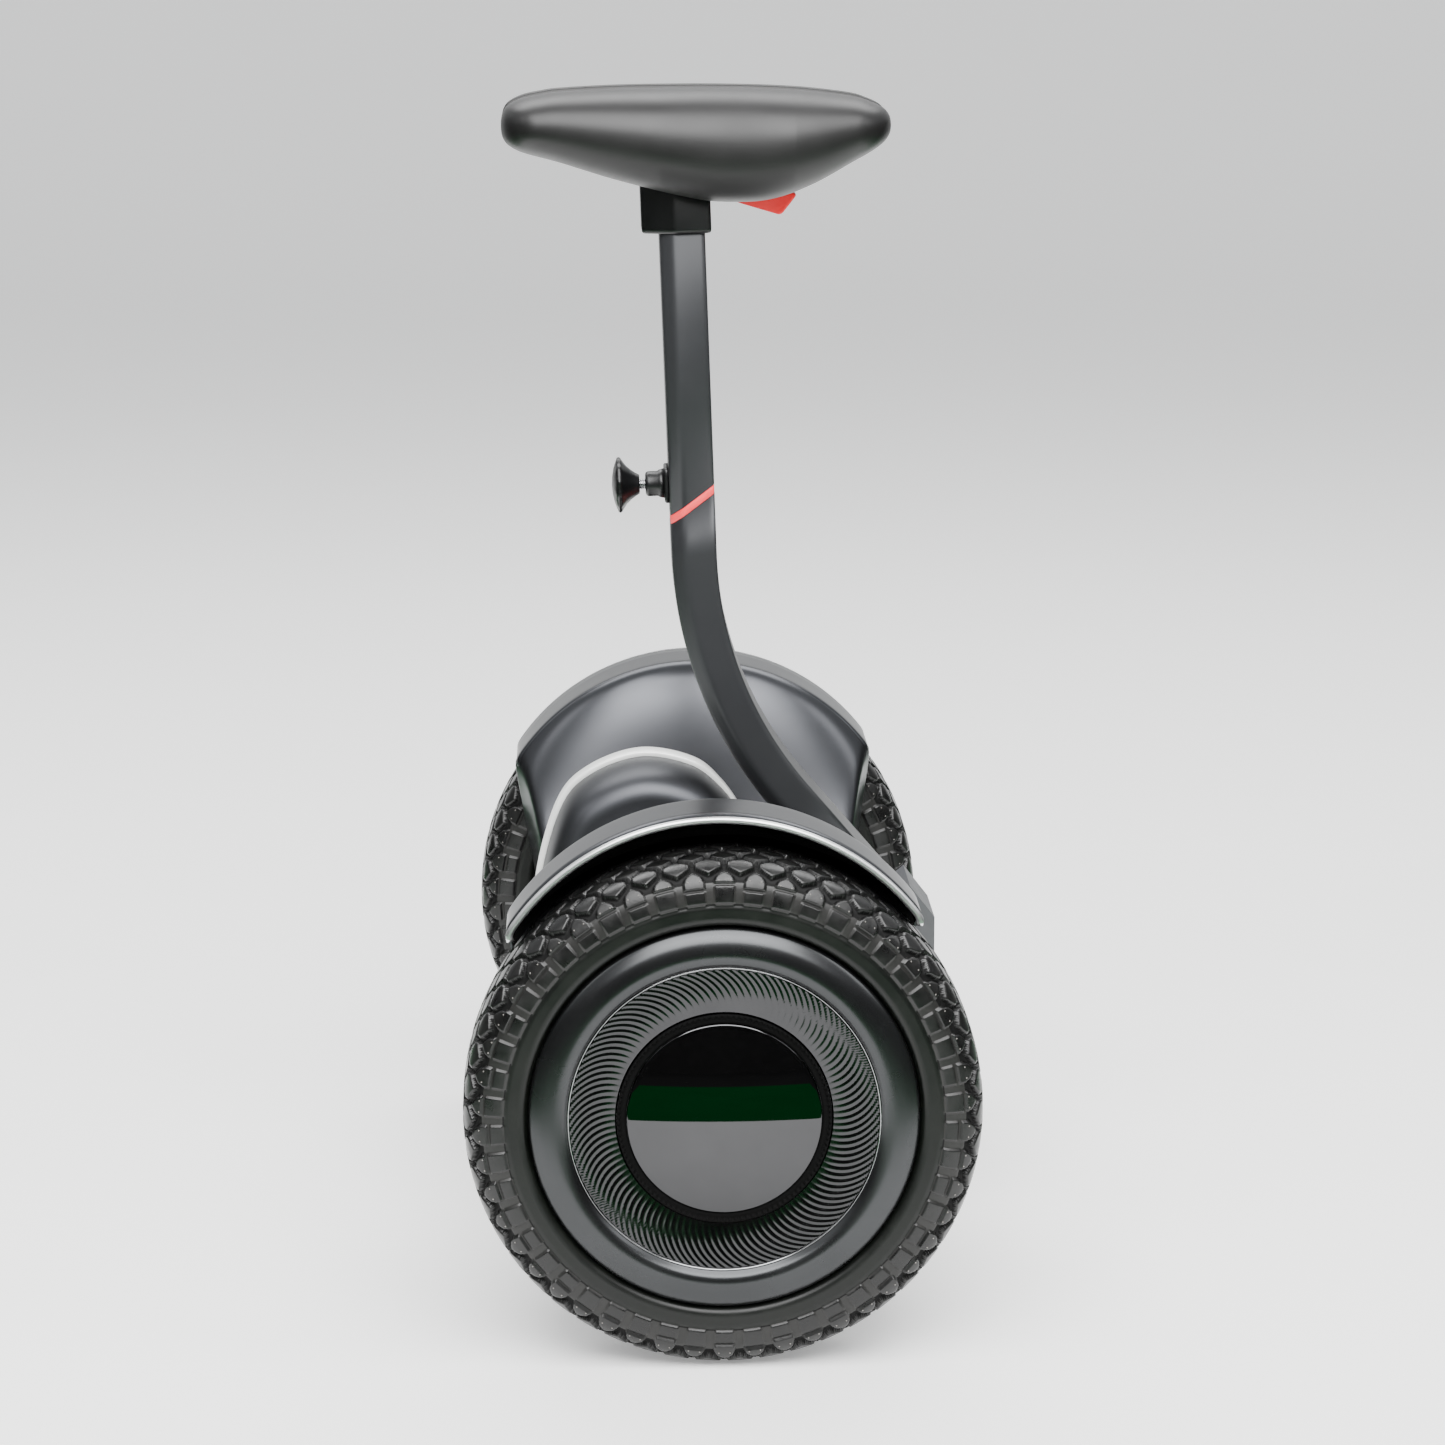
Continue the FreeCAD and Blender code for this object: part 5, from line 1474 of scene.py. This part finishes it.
@dataclass
class Studio:
    """The pale floor, the soft lights and the camera."""

    eye: tuple[float, float, float] = (-72.82, -2448.9, 779.42)
    yaw: float = -0.0329
    pitch: float = 0.1992
    roll: float = 0.0003
    focal: float = 111.02
    floor_half: float = 9.0

    def build(self) -> None:
        """Make the floor, the lights and the camera."""
        self.floor()
        self.lights()
        self.camera()

    def floor(self) -> None:
        """A wide pale floor that sweeps up far behind."""
        depth = np.linspace(-1, 1, 60)
        run = self.floor_half * depth
        rise = 3.2 * eased(5.0, 9.0, run)
        width = np.linspace(-self.floor_half, self.floor_half, 30)
        grid_run, grid_width = np.meshgrid(run, width, indexing="ij")
        grid_rise = np.broadcast_to(rise[:, None], grid_run.shape)
        points = np.stack([grid_width, grid_run, grid_rise - 0.0005], -1) / MM
        item = object_from("floor", points, grid_faces(60, 30)[:, ::-1], [FLOOR])

    def light(self, name: str, spot: Sequence[float], target: Sequence[float], size: Sequence[float],
              power: float, colour: str = "#ffffff") -> None:
        """One soft rectangular light.

        Args:
            name: the light's name.
            spot: its place in metres.
            target: the point it faces.
            size: width and height in metres.
            power: watts.
            colour: its colour.
        """
        data = bpy.data.lights.new(name, "AREA")
        data.shape = "RECTANGLE"
        data.size, data.size_y = size
        data.energy = power
        data.color = linear(colour)[:3]
        item = bpy.data.objects.new(name, data)
        bpy.context.scene.collection.objects.link(item)
        away = (Vector(spot) - Vector(target)).normalized()
        item.matrix_world = Matrix.Translation(spot) @ away.to_track_quat("Z", "Y").to_matrix().to_4x4()

    def lights(self) -> None:
        """Soft boxes overhead, at both sides and behind, and a pale surround with a dark card in front."""
        self.light("overhead", (0.0, -1.2, 2.1), (0, 0, 0.15), (2.2, 1.2), 90)
        self.light("front_strip", (0.0, -1.95, 1.55), (0, -0.2, 0.2), (1.9, 0.8), 60)
        self.light("overhead_back", (0.0, 1.4, 2.4), (0, 0, 0.2), (3.0, 1.2), 80)
        self.light("left_soft", (-1.7, -0.5, 1.7), (0, 0, 0.3), (0.5, 0.8), 5)
        self.light("right_soft", (1.7, -0.7, 1.6), (0, 0, 0.3), (0.6, 0.9), 9)
        world = bpy.data.worlds.new("surround")
        bpy.context.scene.world = world
        world.use_nodes = True
        back = world.node_tree.nodes["Background"]
        back.inputs["Color"].default_value = linear("#eef0f2")
        back.inputs["Strength"].default_value = 0.8
        self.card()

    def card(self) -> None:
        """A dark card round the front and the sides, seen only in the vehicle's reflections.

        It lies on the floor from the edge of the paper outwards and then stands up, and its first strip
        is green felt.
        """
        profile = np.array([(0.68, 0.72, 0.001), (1.25, 1.32, 0.001), (2.3, 2.0, 0.0), (2.3, 2.0, 0.5),
                            (2.3, 2.0, 1.0)])
        turn = np.linspace(math.radians(-235), math.radians(55), 73)[:, None]
        points = np.stack([profile[:, 0] * np.cos(turn), profile[:, 1] * np.sin(turn),
                           profile[:, 2] + 0 * turn], -1) / MM
        faces = grid_faces(73, len(profile))
        item = object_from("dark_card", points, faces, [CARD, FELT], faces[:, 0] % len(profile) == 0)
        item.visible_camera = False
        item.visible_diffuse = False
        item.visible_shadow = False

    def camera(self) -> None:
        """The camera, from its yaw, pitch and roll."""
        data = bpy.data.cameras.new("view")
        data.lens, data.sensor_width = self.focal, 36.0
        data.clip_end = 60.0
        item = bpy.data.objects.new("view", data)
        bpy.context.scene.collection.objects.link(item)
        ahead = Vector((-math.sin(self.yaw) * math.cos(self.pitch), math.cos(self.yaw) * math.cos(self.pitch),
                        -math.sin(self.pitch)))
        right = ahead.cross(Vector((0, 0, 1))).normalized()
        up = right.cross(ahead)
        turned_right = right * math.cos(self.roll) + up * math.sin(self.roll)
        turned_up = up * math.cos(self.roll) - right * math.sin(self.roll)
        frame_of = Matrix((turned_right, turned_up, -ahead)).transposed().to_4x4()
        item.matrix_world = Matrix.Translation(Vector(self.eye) * MM) @ frame_of
        bpy.context.scene.camera = item


def main() -> None:
    """Load the frame, dress it and build every piece."""
    logging.basicConfig(level=logging.INFO, format="%(message)s")
    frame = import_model()
    dress_frame(frame["nodes"])
    for side in Side:
        Wheel(side.word, side.value).build()
        Fender(side.word, side.value).build()
    Hump().build()
    Post().build()
    KneePads().build()
    Details().build()
    Studio().build()


if __name__ == "__main__":
    main()
